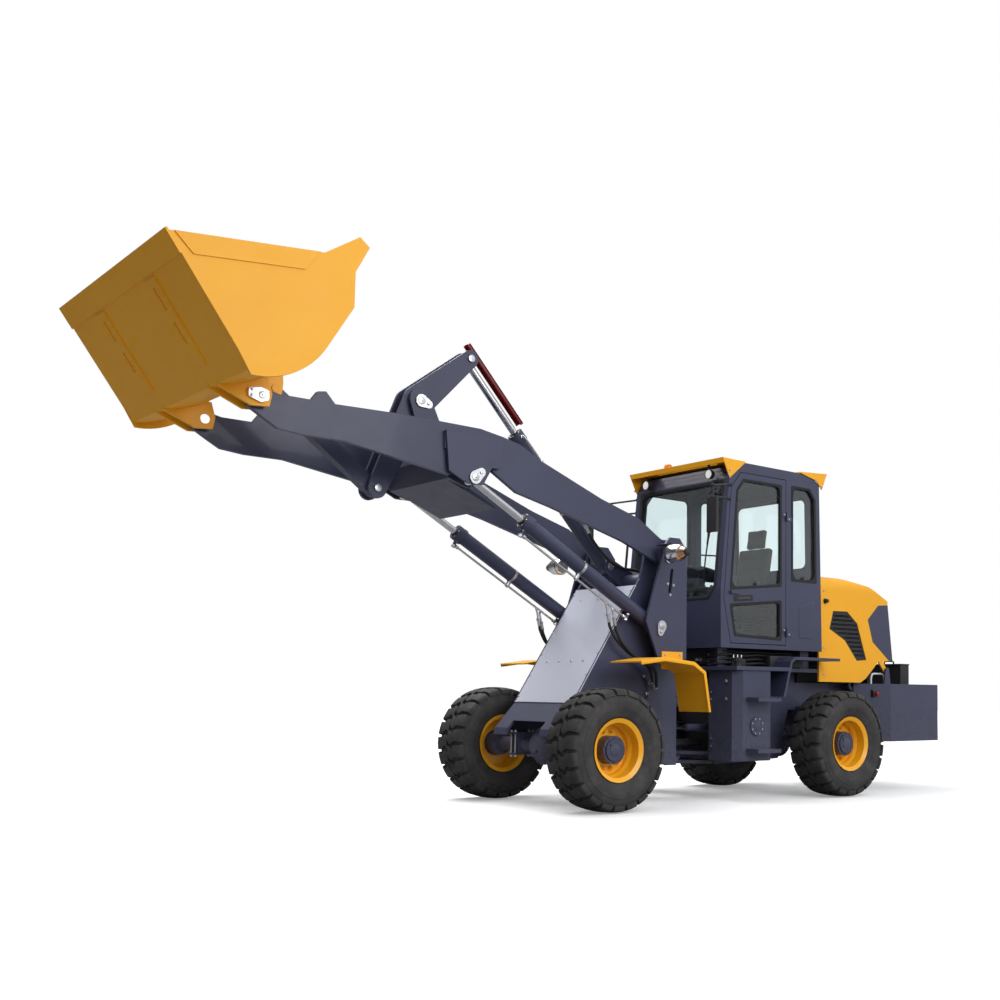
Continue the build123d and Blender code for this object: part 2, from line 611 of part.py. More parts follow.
# a grab rail stands off the right front pillar, beside the door
GRAB_FEET = ((-46, 1870), (-98, 2400))
GRAB_ENDS = ((-43, 1840), (-101, 2430))
GRAB_Y = -730
with BuildPart() as grab_rail:
    for x, z in GRAB_FEET:
        bar_between((x, -CAB_Y, z), (x, GRAB_Y, z), BAR_RADIUS)
    (low_x, low_z), (high_x, high_z) = GRAB_ENDS
    bar_between((low_x, GRAB_Y, low_z), (high_x, GRAB_Y, high_z), POST_RADIUS)
save(grab_rail.part, "grab_rail")

with BuildPart() as seat:
    block(-1130, -690, -230, 230, 1760, 1880)
    block(-1060, -760, -160, 160, CAB_Z + WALL, 1760)
    plate(((-1110, 1880), (-1010, 1880), (-1090, 2380), (-1180, 2380)), -220, 220)
    plate(((-1098, 2380), (-1168, 2380), (-1190, 2560), (-1120, 2560)), -120, 120)
save(seat.part, "seat")

with BuildPart() as steering_column:
    block(-270, -150, -70, 70, CAB_Z + WALL, CAB_Z + WALL + 60)
    rod_between((-200, CAB_Z + WALL), (-420, 2080), 0, 40, 30, 700)
    rod_between((-200, CAB_Z + WALL), (-420, 2080), 0, 190, 700, 725)
    rod_between((-200, CAB_Z + WALL), (-420, 2080), 0, 165, 709, 726, mode=Mode.SUBTRACT)
save(steering_column.part, "steering_column")

# ---------------------------------------------------------------- engine hood
HOOD_SKIN = 20
HOOD_OUT = ((-1425, 1070), (-1425, 2105), (-1800, 2100), (-2200, 2030), (-2480, 1900), (-2560, 1300),
            (-2330, 1280), (-2130, 1110), (-2050, 1070))
HOOD_IN = ((-1400, 1060), (-1400, 2085), (-1798, 2080), (-2190, 2012), (-2461, 1886), (-2541, 1280),
           (-2541, 1060))
GRILLE_FRAME = 22
SLAT_PITCH = 42
SLAT_HEIGHT = 24
SLAT_COUNT = 12
REAR_PANEL = ((-2620, 1872), (-2330, 1850), (-2165, 1700), (-2240, 1480), (-2500, 1297), (-2620, 1297))
GRILLE = ((-1635, 1761), (-1847, 1765), (-2003, 1652), (-2142, 1295), (-1992, 1284), (-1808, 1480),
          (-1579, 1584))


def hood_shell():
    """Hollow hood: its side view crossed with a section that is round at its upper corners."""
    for outline, inset, mode in ((HOOD_OUT, 0, Mode.ADD), (HOOD_IN, HOOD_SKIN, Mode.SUBTRACT)):
        width = 2 * (HOOD_Y - inset)
        with BuildSketch(across(-2600, 0, 1500)) as section:
            Rectangle(width, 1200 - 2 * inset)
            fillet(section.vertices(), 130 - inset)
        with BuildSketch(side(HOOD_Y)) as profile:
            with BuildLine():
                Polyline(*outline, close=True)
            make_face()
        tunnel = extrude(section.sketch, amount=1300, mode=Mode.PRIVATE)
        body = extrude(profile.sketch, amount=2 * HOOD_Y, mode=Mode.PRIVATE)
        add(tunnel & body, mode=mode)


with BuildPart() as hood:
    hood_shell()
    plate(REAR_PANEL, -HOOD_Y - 10, HOOD_Y + 10, mode=Mode.SUBTRACT)
    plate(GRILLE, -HOOD_Y - 10, HOOD_Y + 10, mode=Mode.SUBTRACT)
    for face, sign in SIDES:
        strap(HOOD_HINGE, (-2330, 1330), 25, 25, sign * (HOOD_Y - HOOD_SKIN), sign * (HOOD_Y - 4))
        cross_bar(HOOD_HINGE, HOOD_PIN_RADIUS + RUN_FIT, sign * 500, sign * 600, Mode.SUBTRACT)
save(hood.part, "hood")

with BuildPart() as hood_rear_panel:
    hood_shell()
    plate(REAR_PANEL, -HOOD_Y - 10, HOOD_Y + 10, mode=Mode.INTERSECT)
save(hood_rear_panel.part, "hood_rear_panel")

with BuildPart() as hood_grilles:
    with BuildSketch(side(HOOD_Y)) as field:
        with BuildLine():
            Polyline(*GRILLE, close=True)
        make_face()
        offset(amount=-GRILLE_FRAME, kind=Kind.INTERSECTION)
    window = extrude(field.sketch, amount=2 * HOOD_Y, mode=Mode.PRIVATE)
    middle = ((GRILLE[0][0] + GRILLE[3][0]) / 2, (GRILLE[0][1] + GRILLE[3][1]) / 2)
    with BuildSketch(side(HOOD_Y)) as rows:
        with Locations(middle):
            with GridLocations(0, SLAT_PITCH, 1, SLAT_COUNT):
                Rectangle(700, SLAT_PITCH - SLAT_HEIGHT)
    gaps = extrude(rows.sketch, amount=2 * HOOD_Y, mode=Mode.PRIVATE)
    for face, sign in SIDES:
        plate(GRILLE, sign * (HOOD_Y - HOOD_SKIN), sign * (HOOD_Y - 6))
    add(window & gaps, mode=Mode.SUBTRACT)
save(hood_grilles.part, "hood_grilles")

# ---------------------------------------------------------------- front frame
TOWER_INNER = (ARM_Y - TOWER_GAP / 2 - INNER_PLATE, ARM_Y - TOWER_GAP / 2)
TOWER_OUTER = (ARM_Y + TOWER_GAP / 2, ARM_Y + TOWER_GAP / 2 + INNER_PLATE)
COVER_TOP = (738, 1928)
COVER_FOOT = (1440, 855)
NOSE = (1664, PAD_Z)
NOSE_TOP = (1644, PAD_Z + 58)
FRONT_PLATE = (NOSE, NOSE_TOP, COVER_FOOT, COVER_TOP, (655, 2225), (590, 2285), (430, 2285), (345, 2180),
               (345, 1235), (300, 1180), (300, 320), (420, 320), (700, PAD_Z))
OUTER_PLATE = ((600, 2215), (545, 2285), (430, 2285), (345, 2180), (345, 1235), (670, 1235), (810, 1550))
TOWER_SLOT = ((545, 1815), (520, 2000))
FRONT_LUG_X = 325
TIE_BAR = (600, 1900)            # round tie between the towers, which carries the tilt cylinder's ears
TIE_DOWN = (NOSE[0] - 104, PAD_Z + 68)
TILT_EAR = (74, 99)              # inner and outer face of the ears that hold the tilt cylinder
with BuildPart() as front_frame:
    for face, sign in SIDES:
        plate(FRONT_PLATE, sign * TOWER_INNER[0], sign * TOWER_INNER[1])
        for place in (ARM_PIVOT, LIFT_BASE):
            cross_bar(place, PIN_RADIUS, sign * TOWER_INNER[0], sign * TOWER_INNER[1], Mode.SUBTRACT)
    # rear wall, inclined wall behind the cover, nose wall and top tie
    block(300, FRONT_LUG_X, -TOWER_INNER[0], TOWER_INNER[0], 320, 1180)
    with BuildSketch(across(295, 0, TYRE_RADIUS)) as shaft_hole:
        Circle(PROP_RADIUS + 25)
    extrude(shaft_hole.sketch, amount=40, mode=Mode.SUBTRACT)
    plate((NOSE, NOSE_TOP, COVER_FOOT, (COVER_FOOT[0] - 25, COVER_FOOT[1] + 15),
           (NOSE_TOP[0] - 24, NOSE_TOP[1] - 10), (NOSE[0] - 24, PAD_Z)), -TOWER_INNER[0], TOWER_INNER[0])
    cross_bar(TIE_BAR, 85, -TOWER_INNER[0], TOWER_INNER[0])
    block(1300, 1700, -230, 230, 500, 700, mode=Mode.SUBTRACT)
    for face, sign in SIDES:
        strap((TIE_BAR[0] + 10, TIE_BAR[1] + 30), TILT_BASE, 95, 62, sign * TILT_EAR[0], sign * TILT_EAR[1])
        cross_bar(TILT_BASE, PIN_RADIUS, sign * (TILT_EAR[0] - 5), sign * (TILT_EAR[1] + 5), Mode.SUBTRACT)
        steer_fork(STEER_EYE, 305, sign, False)
    for low, high in HINGE_LUGS:
        with BuildSketch(level(low)) as lug:
            with BuildLine():
                Polyline((FRONT_LUG_X, -TOWER_INNER[0]), (250, -TOWER_INNER[0]), (20, -98), (20, 98),
                         (250, TOWER_INNER[0]), (FRONT_LUG_X, TOWER_INNER[0]), close=True)
            make_face()
            Circle(100)
        extrude(lug.sketch, amount=high - low)
    with BuildSketch(level(HINGE_LUGS[0][0] - 60)) as bore:
        Circle(HINGE_PIN_RADIUS + RUN_FIT)
    extrude(bore.sketch, amount=700, mode=Mode.SUBTRACT)
    # tie-down holes in the nose plates
    cross_bar(TIE_DOWN, 22, -TOWER_INNER[1] - 5, TOWER_INNER[1] + 5, Mode.SUBTRACT)
save(front_frame.part, "front_frame")

# a tower's outer plate, with the rear web and the shelf that join it to the frame's plate
with BuildPart() as loader_towers:
    for face, sign in SIDES:
        plate(OUTER_PLATE, sign * TOWER_OUTER[0], sign * TOWER_OUTER[1])
        block(345, 365, sign * TOWER_INNER[1], sign * TOWER_OUTER[0], 1235, 2020)
        block(365, 660, sign * TOWER_INNER[1], sign * TOWER_OUTER[0], 1235, 1255)
        for place in (ARM_PIVOT, LIFT_BASE):
            cross_bar(place, PIN_RADIUS, sign * TOWER_OUTER[0], sign * TOWER_OUTER[1], Mode.SUBTRACT)
        strap(*TOWER_SLOT, 16, 16, sign * (TOWER_OUTER[0] - 5), sign * (TOWER_OUTER[1] + 5), Mode.SUBTRACT)
save(loader_towers.part, "loader_towers")

with BuildPart() as front_cover:
    plate((COVER_FOOT, (780, 1864), (787, 1868), (1447, 859)), -TOWER_INNER[1], TOWER_INNER[1])
save(front_cover.part, "front_cover")

with BuildPart() as front_pins:
    for face, sign in SIDES:
        for place in (ARM_PIVOT, LIFT_BASE):
            cross_bar(place, PIN_RADIUS, sign * TOWER_INNER[0], sign * TOWER_OUTER[1])
            strap(place, (place[0] + 15, place[1] - 55), 48, 30,
                  sign * TOWER_OUTER[1], sign * (TOWER_OUTER[1] + LOCK_PLATE))
    cross_bar(TILT_BASE, PIN_RADIUS, -TILT_EAR[1], TILT_EAR[1])
save(front_pins.part, "front_pins")

FENDER = ((1210, 1200), (952, 1236), (620, 1206), (490, 1126), (428, 790), (440, 790), (501, 1118),
          (626, 1194), (952, 1224), (1208, 1188))
FENDER_Y = (600, 980)
with BuildPart() as front_fenders:
    for face, sign in SIDES:
        plate(FENDER, sign * FENDER_Y[0], sign * FENDER_Y[1])
        plate(((640, 1190), (500, 1115), (430, 1115), (430, 1180), (500, 1220)),
              sign * TOWER_OUTER[1], sign * (FENDER_Y[0] + 12))
        block(400, 640, sign * TOWER_OUTER[1], sign * (TOWER_OUTER[1] + 12), 1150, 1300)
save(front_fenders.part, "front_fenders")

LAMP = (690, 2119)
LAMP_Y = 735                     # inner face of a head lamp
# lamp profile: (distance outboard of its inner face, radius)
LAMP_PROFILE = ((0, 0), (0, 60), (30, 78), (130, 70), (205, 36), (235, 22), (235, 0))
with BuildPart() as head_lamps:
    for face, sign in SIDES:
        centre = (PIN_X + LAMP[0], sign * LAMP_Y, LAMP[1])
        with BuildSketch(Plane(origin=centre, x_dir=(0, sign, 0), z_dir=(0, 0, 1))) as shape:
            with BuildLine():
                Polyline(*LAMP_PROFILE, close=True)
            make_face()
        revolve(shape.sketch, axis=Axis(centre, (0, 1, 0)))
        block(560, 700, sign * TOWER_OUTER[1], sign * (LAMP_Y + 10), 2197, 2207)
        block(470, 600, sign * TOWER_OUTER[1], sign * (TOWER_OUTER[1] + 8), 2197, 2225)
        block(680, 700, sign * LAMP_Y, sign * (LAMP_Y + 10), 2150, 2200)
save(head_lamps.part, "head_lamps")

# ---------------------------------------------------------------- lift arms
ARM = ((4330, 2850), (4210, 2780), (4110, 2725), (3920, 2706), (3610, 2706), (3250, 2650), (2760, 2575),
       (2400, 2575), (1760, 2425), (1000, 2215), (580, 2050), (480, 2080), (460, 2180), (530, 2245),
       (630, 2300), (834, 2426), (1254, 2552), (1888, 2792), (2077, 2888), (2244, 2927), (2458, 2962),
       (3131, 2971), (3686, 2958), (3758, 3037), (3820, 3027), (3870, 2960), (4110, 2960), (4235, 2985))
HUB_HALF = TOWER_GAP / 2 - MOVE_GAP
PIVOT_HUB = 92
BUCKET_HUB = 72
BUCKET_HUB_HALF = 50
EYE_RADIUS = 55
EYE_HALF = 34
FORK_HALF = EYE_HALF + MOVE_GAP  # half the free width of the fork for a lift rod's eye
LUG_PLATE = 20
EYE_DRIFT = 100                  # how far a lift rod's eye strays from its place on the arm
TUBE = (2580, 2760)              # middle of the box beam between the arms
BEAM = ((2450, 2870), (2690, 2870), (2745, 2720), (2700, 2560), (2520, 2500), (2450, 2560))
BEAM_FLOOR = ((2700, 2560), (2240, 2375), (2232, 2394), (2650, 2580))
BEAM_FLOOR_Y = 400
ROCKER_EAR = (95, 120)           # faces of the ears that hold the rocker
ARM_IN = ARM_Y - ARM_THICK / 2
ARM_OUT = ARM_Y + ARM_THICK / 2

with BuildPart() as lift_arms:
    for face, sign in SIDES:
        plate(ARM, sign * ARM_IN, sign * ARM_OUT)
        cross_bar(ARM_PIVOT, PIVOT_HUB, sign * (ARM_Y - HUB_HALF), sign * (ARM_Y + HUB_HALF))
        cross_bar(BUCKET_PIN, BUCKET_HUB,
                  sign * (ARM_Y - BUCKET_HUB_HALF), sign * (ARM_Y + BUCKET_HUB_HALF))
        # fork for the lift rod's eye: the arm is notched there between two lug plates
        x, z = LIFT_EYE
        crown = z + EYE_RADIUS + EYE_DRIFT
        plate(((x - 420, z - 110), (x + 190, z - 110), (x + 190, crown), (x - 190, crown),
               (x - 190, z + 74), (x - 420, z - 62)), sign * ARM_IN, sign * ARM_OUT, Mode.SUBTRACT)
        for y0, y1 in ((ARM_Y - FORK_HALF - LUG_PLATE, ARM_Y - FORK_HALF),
                       (ARM_Y + FORK_HALF, ARM_Y + FORK_HALF + LUG_PLATE)):
            plate(((x - 78, z - 50), (x + 60, z - 50), (x + 230, z + 30), (x + 260, z + 330),
                   (x - 260, z + 330), (x - 235, z + 92), (x - 158, z + 92)), sign * y0, sign * y1)
        block(x - 260, x + 260, sign * (ARM_Y - FORK_HALF), sign * (ARM_Y + FORK_HALF), crown + 40, z + 330)
        cross_bar(ARM_PIVOT, PIN_RADIUS + RUN_FIT, sign * 400, sign * 600, Mode.SUBTRACT)
        cross_bar(BUCKET_PIN, PIN_RADIUS, sign * 400, sign * 600, Mode.SUBTRACT)
    plate(BEAM, FORK_HALF - ARM_Y, ARM_Y - FORK_HALF)
    plate(BEAM_FLOOR, -BEAM_FLOOR_Y, BEAM_FLOOR_Y)
    for face, sign in SIDES:
        strap(TUBE, ROCKER_PIVOT, 120, 95, sign * ROCKER_EAR[0], sign * ROCKER_EAR[1])
        cross_bar(ROCKER_PIVOT, PIN_RADIUS, sign * 90, sign * 130, Mode.SUBTRACT)
save(lift_arms.part, "lift_arms")

BUCKET_EAR = ((ARM_Y - BUCKET_HUB_HALF - MOVE_GAP - 25, ARM_Y - BUCKET_HUB_HALF - MOVE_GAP),
              (ARM_Y + BUCKET_HUB_HALF + MOVE_GAP, ARM_Y + BUCKET_HUB_HALF + MOVE_GAP + 25))
with BuildPart() as arm_pins:
    for face, sign in SIDES:
        cross_bar(BUCKET_PIN, PIN_RADIUS, sign * BUCKET_EAR[0][0], sign * (BUCKET_EAR[1][1] - SEAT_GAP))
    cross_bar(ROCKER_PIVOT, PIN_RADIUS, -ROCKER_EAR[1], ROCKER_EAR[1])
    lug_face = ARM_Y + FORK_HALF + LUG_PLATE
    for face, sign in SIDES:
        # teardrop plates over the lift rods' pins
        strap(LIFT_EYE, (LIFT_EYE[0] - 55, LIFT_EYE[1] + 45), 50, 34,
              sign * lug_face, sign * (lug_face + LOCK_PLATE))
        strap(ROCKER_PIVOT, (ROCKER_PIVOT[0] - 65, ROCKER_PIVOT[1] - 20), 50, 32,
              sign * ROCKER_EAR[1], sign * (ROCKER_EAR[1] + LOCK_PLATE))
save(arm_pins.part, "arm_pins")

# ---------------------------------------------------------------- rocker and bucket link
ROCKER_PLATE = (50, 80)
LINK_HALF = 40
LINK_PIN_RADIUS = 28
with BuildPart() as rocker:
    for face, sign in SIDES:
        strap(ROCKER_TOP, ROCKER_PIVOT, 70, 125, sign * ROCKER_PLATE[0], sign * ROCKER_PLATE[1])
        strap(ROCKER_PIVOT, ROCKER_FOOT, 125, 78, sign * ROCKER_PLATE[0], sign * ROCKER_PLATE[1])
    cross_bar(ROCKER_PIVOT, 75, -ROCKER_PLATE[1] - 8, ROCKER_PLATE[1] + 8)
    cross_bar(ROCKER_PIVOT, PIN_RADIUS + RUN_FIT, -100, 100, Mode.SUBTRACT)
    for face, sign in SIDES:
        cross_bar(ROCKER_FOOT, 30, sign * ROCKER_PLATE[0], sign * (ROCKER_PLATE[1] + 10))
        cross_bar(ROCKER_TOP, 30, sign * ROCKER_PLATE[0], sign * (ROCKER_PLATE[1] + 10))
save(rocker.part, "rocker")

with BuildPart() as bucket_link:
    strap(ROCKER_FOOT, LINK_EYE, 62, 55, -LINK_HALF, LINK_HALF)
    cross_bar(LINK_EYE, LINK_PIN_RADIUS + RUN_FIT, -LINK_HALF - 5, LINK_HALF + 5, Mode.SUBTRACT)
save(bucket_link.part, "bucket_link")

# ---------------------------------------------------------------- bucket
BUCKET_Y = 1062
SHELL = 16
CHEEK = 20
LIP = (5100, 3702)
FOLD = (4637, 3058)
# heel, belly, knee, back and top of the back: cheeks' rim, and shell drawn in from it
CHEEK_CURVE = ((4548, 2912), (4240, 2985), (4037, 3179), (3846, 3488), (3843, 3731))
SHELL_CURVE = ((4560, 2945), (4260, 3035), (4070, 3195), (3866, 3490), (3863, 3731))
GUARD_BACK = (3742, 3920)        # spill guard's top, in the shell and in the cheeks' ears
GUARD_TIP = (3816, 3976)
CHEEK_TOP = (4070, 3808)
EDGE_LENGTH = 150                # cutting edge, along the floor
EDGE_PROUD = 10
FLOOR_RUN = distance(FOLD, LIP)
FLOOR_DIR = ((LIP[0] - FOLD[0]) / FLOOR_RUN, (LIP[1] - FOLD[1]) / FLOOR_RUN)


def floor_point(ahead, below):
    """Side-view place ahead of the lip along the floor and below the floor's outer face."""
    return (LIP[0] + ahead * FLOOR_DIR[0] + below * FLOOR_DIR[1],
            LIP[1] + ahead * FLOOR_DIR[1] - below * FLOOR_DIR[0])


def on_floor(near, far, low, high, y0, y1, mode=Mode.ADD):
    """Plate on the floor's outer face, between two distances behind the lip."""
    plate((floor_point(-near, low), floor_point(-near, high),
           floor_point(-far, high), floor_point(-far, low)),
          y0, y1, mode)


def bucket_face(y, wall, lip, curve, *mouth):
    """Side view at y: from the lip round the back, over the mouth's points, drawn in by wall."""
    heel, belly, knee, back, top = curve
    with BuildSketch(side(y)) as face:
        with BuildLine():
            Polyline(lip, FOLD, heel)
            ThreePointArc(heel, belly, knee)
            Polyline(knee, back, top, *mouth, lip)
        make_face()
        if wall:
            offset(amount=-wall, kind=Kind.INTERSECTION)
    return face.sketch


EAR = ((4700, 3200), (4560, 2935), (4330, 2838), (4200, 2848), (4183, 2935), (4215, 3045), (4400, 3060))
LINK_EAR = ((4200, 3200), (LINK_EYE[0] + 45, LINK_EYE[1] - 62), (LINK_EYE[0] - 50, LINK_EYE[1] - 50),
            (LINK_EYE[0] - 62, LINK_EYE[1] + 45), (3900, 3420), (4000, 3500))
LINK_EAR_Y = (55, 80)
STRIP_DEPTH = 130                # raised strip along a cheek's top edge
STRIP_PROUD = 8
SKID_Y = (400, 575)              # plates under the floor that stiffen it ahead of the ears
SKID = 10
SLOTS = (230, 470)               # slots in them, behind the lip
CHEEK_RUN = distance(CHEEK_TOP, LIP)


def cheek_point(ahead, below):
    """Side-view place ahead of the cheek's top corner along its edge and below that edge."""
    ux = (LIP[0] - CHEEK_TOP[0]) / CHEEK_RUN
    uz = (LIP[1] - CHEEK_TOP[1]) / CHEEK_RUN
    return (CHEEK_TOP[0] + ahead * ux + below * uz, CHEEK_TOP[1] + ahead * uz - below * ux)


with BuildPart() as bucket:
    extrude(bucket_face(BUCKET_Y - 1, 0, LIP, SHELL_CURVE, GUARD_BACK, GUARD_TIP, CHEEK_TOP),
            amount=2 * (BUCKET_Y - 1))
    for y in (BUCKET_Y, CHEEK - BUCKET_Y):
        extrude(bucket_face(y, 0, LIP, CHEEK_CURVE, GUARD_BACK, GUARD_TIP, CHEEK_TOP), amount=CHEEK)
    for face, sign in SIDES:
        for y0, y1 in BUCKET_EAR:
            plate(EAR, sign * y0, sign * y1)
        plate(LINK_EAR, sign * LINK_EAR_Y[0], sign * LINK_EAR_Y[1])
    plate((floor_point(18, -6), floor_point(18, EDGE_PROUD), floor_point(-EDGE_LENGTH, EDGE_PROUD),
           floor_point(-EDGE_LENGTH, -6)), -BUCKET_Y - 3, BUCKET_Y + 3)
    for face, sign in SIDES:
        plate((cheek_point(30, 0), cheek_point(CHEEK_RUN - 40, 0),
               cheek_point(CHEEK_RUN - 150, STRIP_DEPTH), cheek_point(150, STRIP_DEPTH)),
              sign * BUCKET_Y, sign * (BUCKET_Y + STRIP_PROUD))
        on_floor(EDGE_LENGTH + 20, FLOOR_RUN - SKID, 0, SKID, sign * SKID_Y[0], sign * SKID_Y[1])
        for behind in SLOTS:
            on_floor(behind, behind + 150, 2, SKID + 1,
                     sign * (ARM_Y - 15), sign * (ARM_Y + 15), Mode.SUBTRACT)
        strap(BUCKET_PIN, (BUCKET_PIN[0] + 70, BUCKET_PIN[1] + 10), 52, 34,
              sign * BUCKET_EAR[1][1], sign * (BUCKET_EAR[1][1] + LOCK_PLATE))
    beyond = (2 * GUARD_BACK[0] - SHELL_CURVE[-1][0], 2 * GUARD_BACK[1] - SHELL_CURVE[-1][1])
    hollow = bucket_face(BUCKET_Y - CHEEK, SHELL, floor_point(250, 0), SHELL_CURVE, beyond)
    extrude(hollow, amount=2 * (BUCKET_Y - CHEEK), mode=Mode.SUBTRACT)
    for face, sign in SIDES:
        cross_bar(BUCKET_PIN, PIN_RADIUS + RUN_FIT, sign * (BUCKET_EAR[0][0] - 5), sign * BUCKET_EAR[1][1],
                  Mode.SUBTRACT)
    cross_bar(LINK_EYE, LINK_PIN_RADIUS, -LINK_EAR_Y[1] - 10, LINK_EAR_Y[1] + 10)
save(bucket.part, "bucket")

# ---------------------------------------------------------------- cylinders
# columns: name, base pin, rod eye, y, barrel radius, rod radius, base eye half width,
# distance from base pin to gland, rod length inside the barrel at rest, rod eye half width
CYLINDERS = (
    ("lift_left", LIFT_BASE, LIFT_EYE, ARM_Y, 60, 30, TOWER_GAP / 2 - MOVE_GAP, 1600, 900, EYE_HALF),
    ("lift_right", LIFT_BASE, LIFT_EYE, -ARM_Y, 60, 30, TOWER_GAP / 2 - MOVE_GAP, 1600, 900, EYE_HALF),
    ("tilt", TILT_BASE, ROCKER_TOP, 0, 60, 30, TILT_EAR[0] - MOVE_GAP, 1440, 750, EYE_HALF),
)
BARREL_WALL = 12
GLAND = 90
PIPE_DROP = 105                  # steel pipe below a lift barrel, from its gland to its base
PIPE_RADIUS = 8
PIPE_ENDS = (300, 45)            # its rear end from the base pin, its front end from the gland's face
for name, base, eye, y, outer, rod, base_half, gland, inside, eye_half in CYLINDERS:
    with BuildPart() as barrel:
        rod_between(base, eye, y, outer, 40, gland)
        rod_between(base, eye, y, outer + 8, gland - GLAND, gland)
        cross_bar(base, 66, y - base_half, y + base_half)
        if name != "tilt":
            under = beside(base, eye, -PIPE_DROP)
            ahead = gland - PIPE_ENDS[1]
            rod_between(*under, y, PIPE_RADIUS, PIPE_ENDS[0] - PIPE_RADIUS, ahead + PIPE_RADIUS)
            for place in (PIPE_ENDS[0], ahead):
                axis_place = along(base, eye, y, place)
                with BuildSketch(Plane(origin=axis_place.origin, x_dir=(0, 1, 0),
                                       z_dir=axis_place.z_dir.cross(Vector(0, -1, 0)))) as port:
                    Circle(2 * PIPE_RADIUS)
                extrude(port.sketch, amount=PIPE_DROP)
        rod_between(base, eye, y, outer - BARREL_WALL, 110, gland - GLAND, Mode.SUBTRACT)
        rod_between(base, eye, y, rod + RUN_FIT, gland - GLAND, gland + 1, Mode.SUBTRACT)
        cross_bar(base, PIN_RADIUS + RUN_FIT, y - base_half - 5, y + base_half + 5, Mode.SUBTRACT)
    save(barrel.part, name + "_barrel")
    with BuildPart() as piston_rod:
        reach = distance(base, eye)
        rod_between(base, eye, y, rod, gland - inside, reach)
        cross_bar(eye, EYE_RADIUS, y - eye_half, y + eye_half)
        if name == "tilt":
            # level indicator: a flat bar above the rod
            with BuildSketch(along(base, eye, y, reach - 700)) as bar:
                with Locations((0, 105)):
                    Rectangle(60, 10)
            extrude(bar.sketch, amount=790)
            with BuildSketch(along(base, eye, y, reach - 30)) as post:
                with Locations((0, 75)):
                    Rectangle(40, 60)
            extrude(post.sketch, amount=50)
    save(piston_rod.part, name + "_rod")

for face, sign in SIDES:
    base = (STEER_BASE[0], sign * STEER_BASE[1])
    eye = (STEER_EYE[0], sign * STEER_EYE[1])
    reach = distance(base, eye)
    ux, uy = (eye[0] - base[0]) / reach, (eye[1] - base[1]) / reach

    def ram(radius, first, last, mode=Mode.ADD):
        start = (PIN_X + base[0] + ux * first, base[1] + uy * first, STEER_Z)
        with BuildSketch(Plane(origin=start, x_dir=(0, 0, 1), z_dir=(ux, uy, 0))) as round_bar:
            Circle(radius)
        extrude(round_bar.sketch, amount=last - first, mode=mode)

    def eye_boss(place, radius, half, mode=Mode.ADD):
        with BuildSketch(level(STEER_Z - half, *place)) as boss:
            Circle(radius)
        extrude(boss.sketch, amount=2 * half, mode=mode)

    with BuildPart() as barrel:
        ram(20, 0, 60)
        ram(32, 50, 320)
        eye_boss(base, 32, STEER_EYE_HALF)
        ram(22, 70, 300, Mode.SUBTRACT)
        ram(16 + RUN_FIT, 299, 321, Mode.SUBTRACT)
        eye_boss(base, STEER_PIN_RADIUS + RUN_FIT, 40, Mode.SUBTRACT)
    save(barrel.part, "steer_barrel_" + face)
    with BuildPart() as piston_rod:
        ram(16, 220, reach)
        eye_boss(eye, 26, STEER_EYE_HALF)
    save(piston_rod.part, "steer_rod_" + face)
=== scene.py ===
# %% [markdown]
# # A wheel loader, dressed
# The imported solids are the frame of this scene: every plate, pin and cylinder already stands in its
# place. What is left is what a steel yard doesn't cut: paint, rubber, glass, bolts and upholstery.
# Each step first says what the real thing is, and then makes it.

# %% Load the frame
import json
import math

import bmesh
import bpy
from mathutils import Matrix, Vector


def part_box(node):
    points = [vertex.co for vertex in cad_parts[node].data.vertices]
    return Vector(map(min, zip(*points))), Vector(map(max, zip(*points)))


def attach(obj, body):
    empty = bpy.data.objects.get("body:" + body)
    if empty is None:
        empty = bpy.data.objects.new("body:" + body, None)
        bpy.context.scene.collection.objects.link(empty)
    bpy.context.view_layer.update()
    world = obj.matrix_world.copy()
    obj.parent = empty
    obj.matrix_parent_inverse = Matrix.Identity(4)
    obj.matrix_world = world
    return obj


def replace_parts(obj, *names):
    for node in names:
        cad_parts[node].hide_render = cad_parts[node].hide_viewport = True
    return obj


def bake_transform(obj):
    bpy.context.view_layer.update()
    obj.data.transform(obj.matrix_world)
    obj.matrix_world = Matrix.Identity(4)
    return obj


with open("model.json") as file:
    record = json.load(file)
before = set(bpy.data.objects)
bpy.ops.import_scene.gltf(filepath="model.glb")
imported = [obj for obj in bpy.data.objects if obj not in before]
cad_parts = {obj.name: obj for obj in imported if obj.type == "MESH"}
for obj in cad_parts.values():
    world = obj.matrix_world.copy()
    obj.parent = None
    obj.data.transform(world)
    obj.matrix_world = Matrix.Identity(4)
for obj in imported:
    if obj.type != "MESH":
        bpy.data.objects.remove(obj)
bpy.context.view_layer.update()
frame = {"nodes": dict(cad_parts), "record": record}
nodes = frame["nodes"]

# %% [markdown]
# A material is a small graph of nodes. `Graph` makes a node in one call, and `Finish` builds on it: a
# Principled shader fed with patterns over the object's own coordinates, so that a pattern keeps its
# scale and stays put when the machine moves.

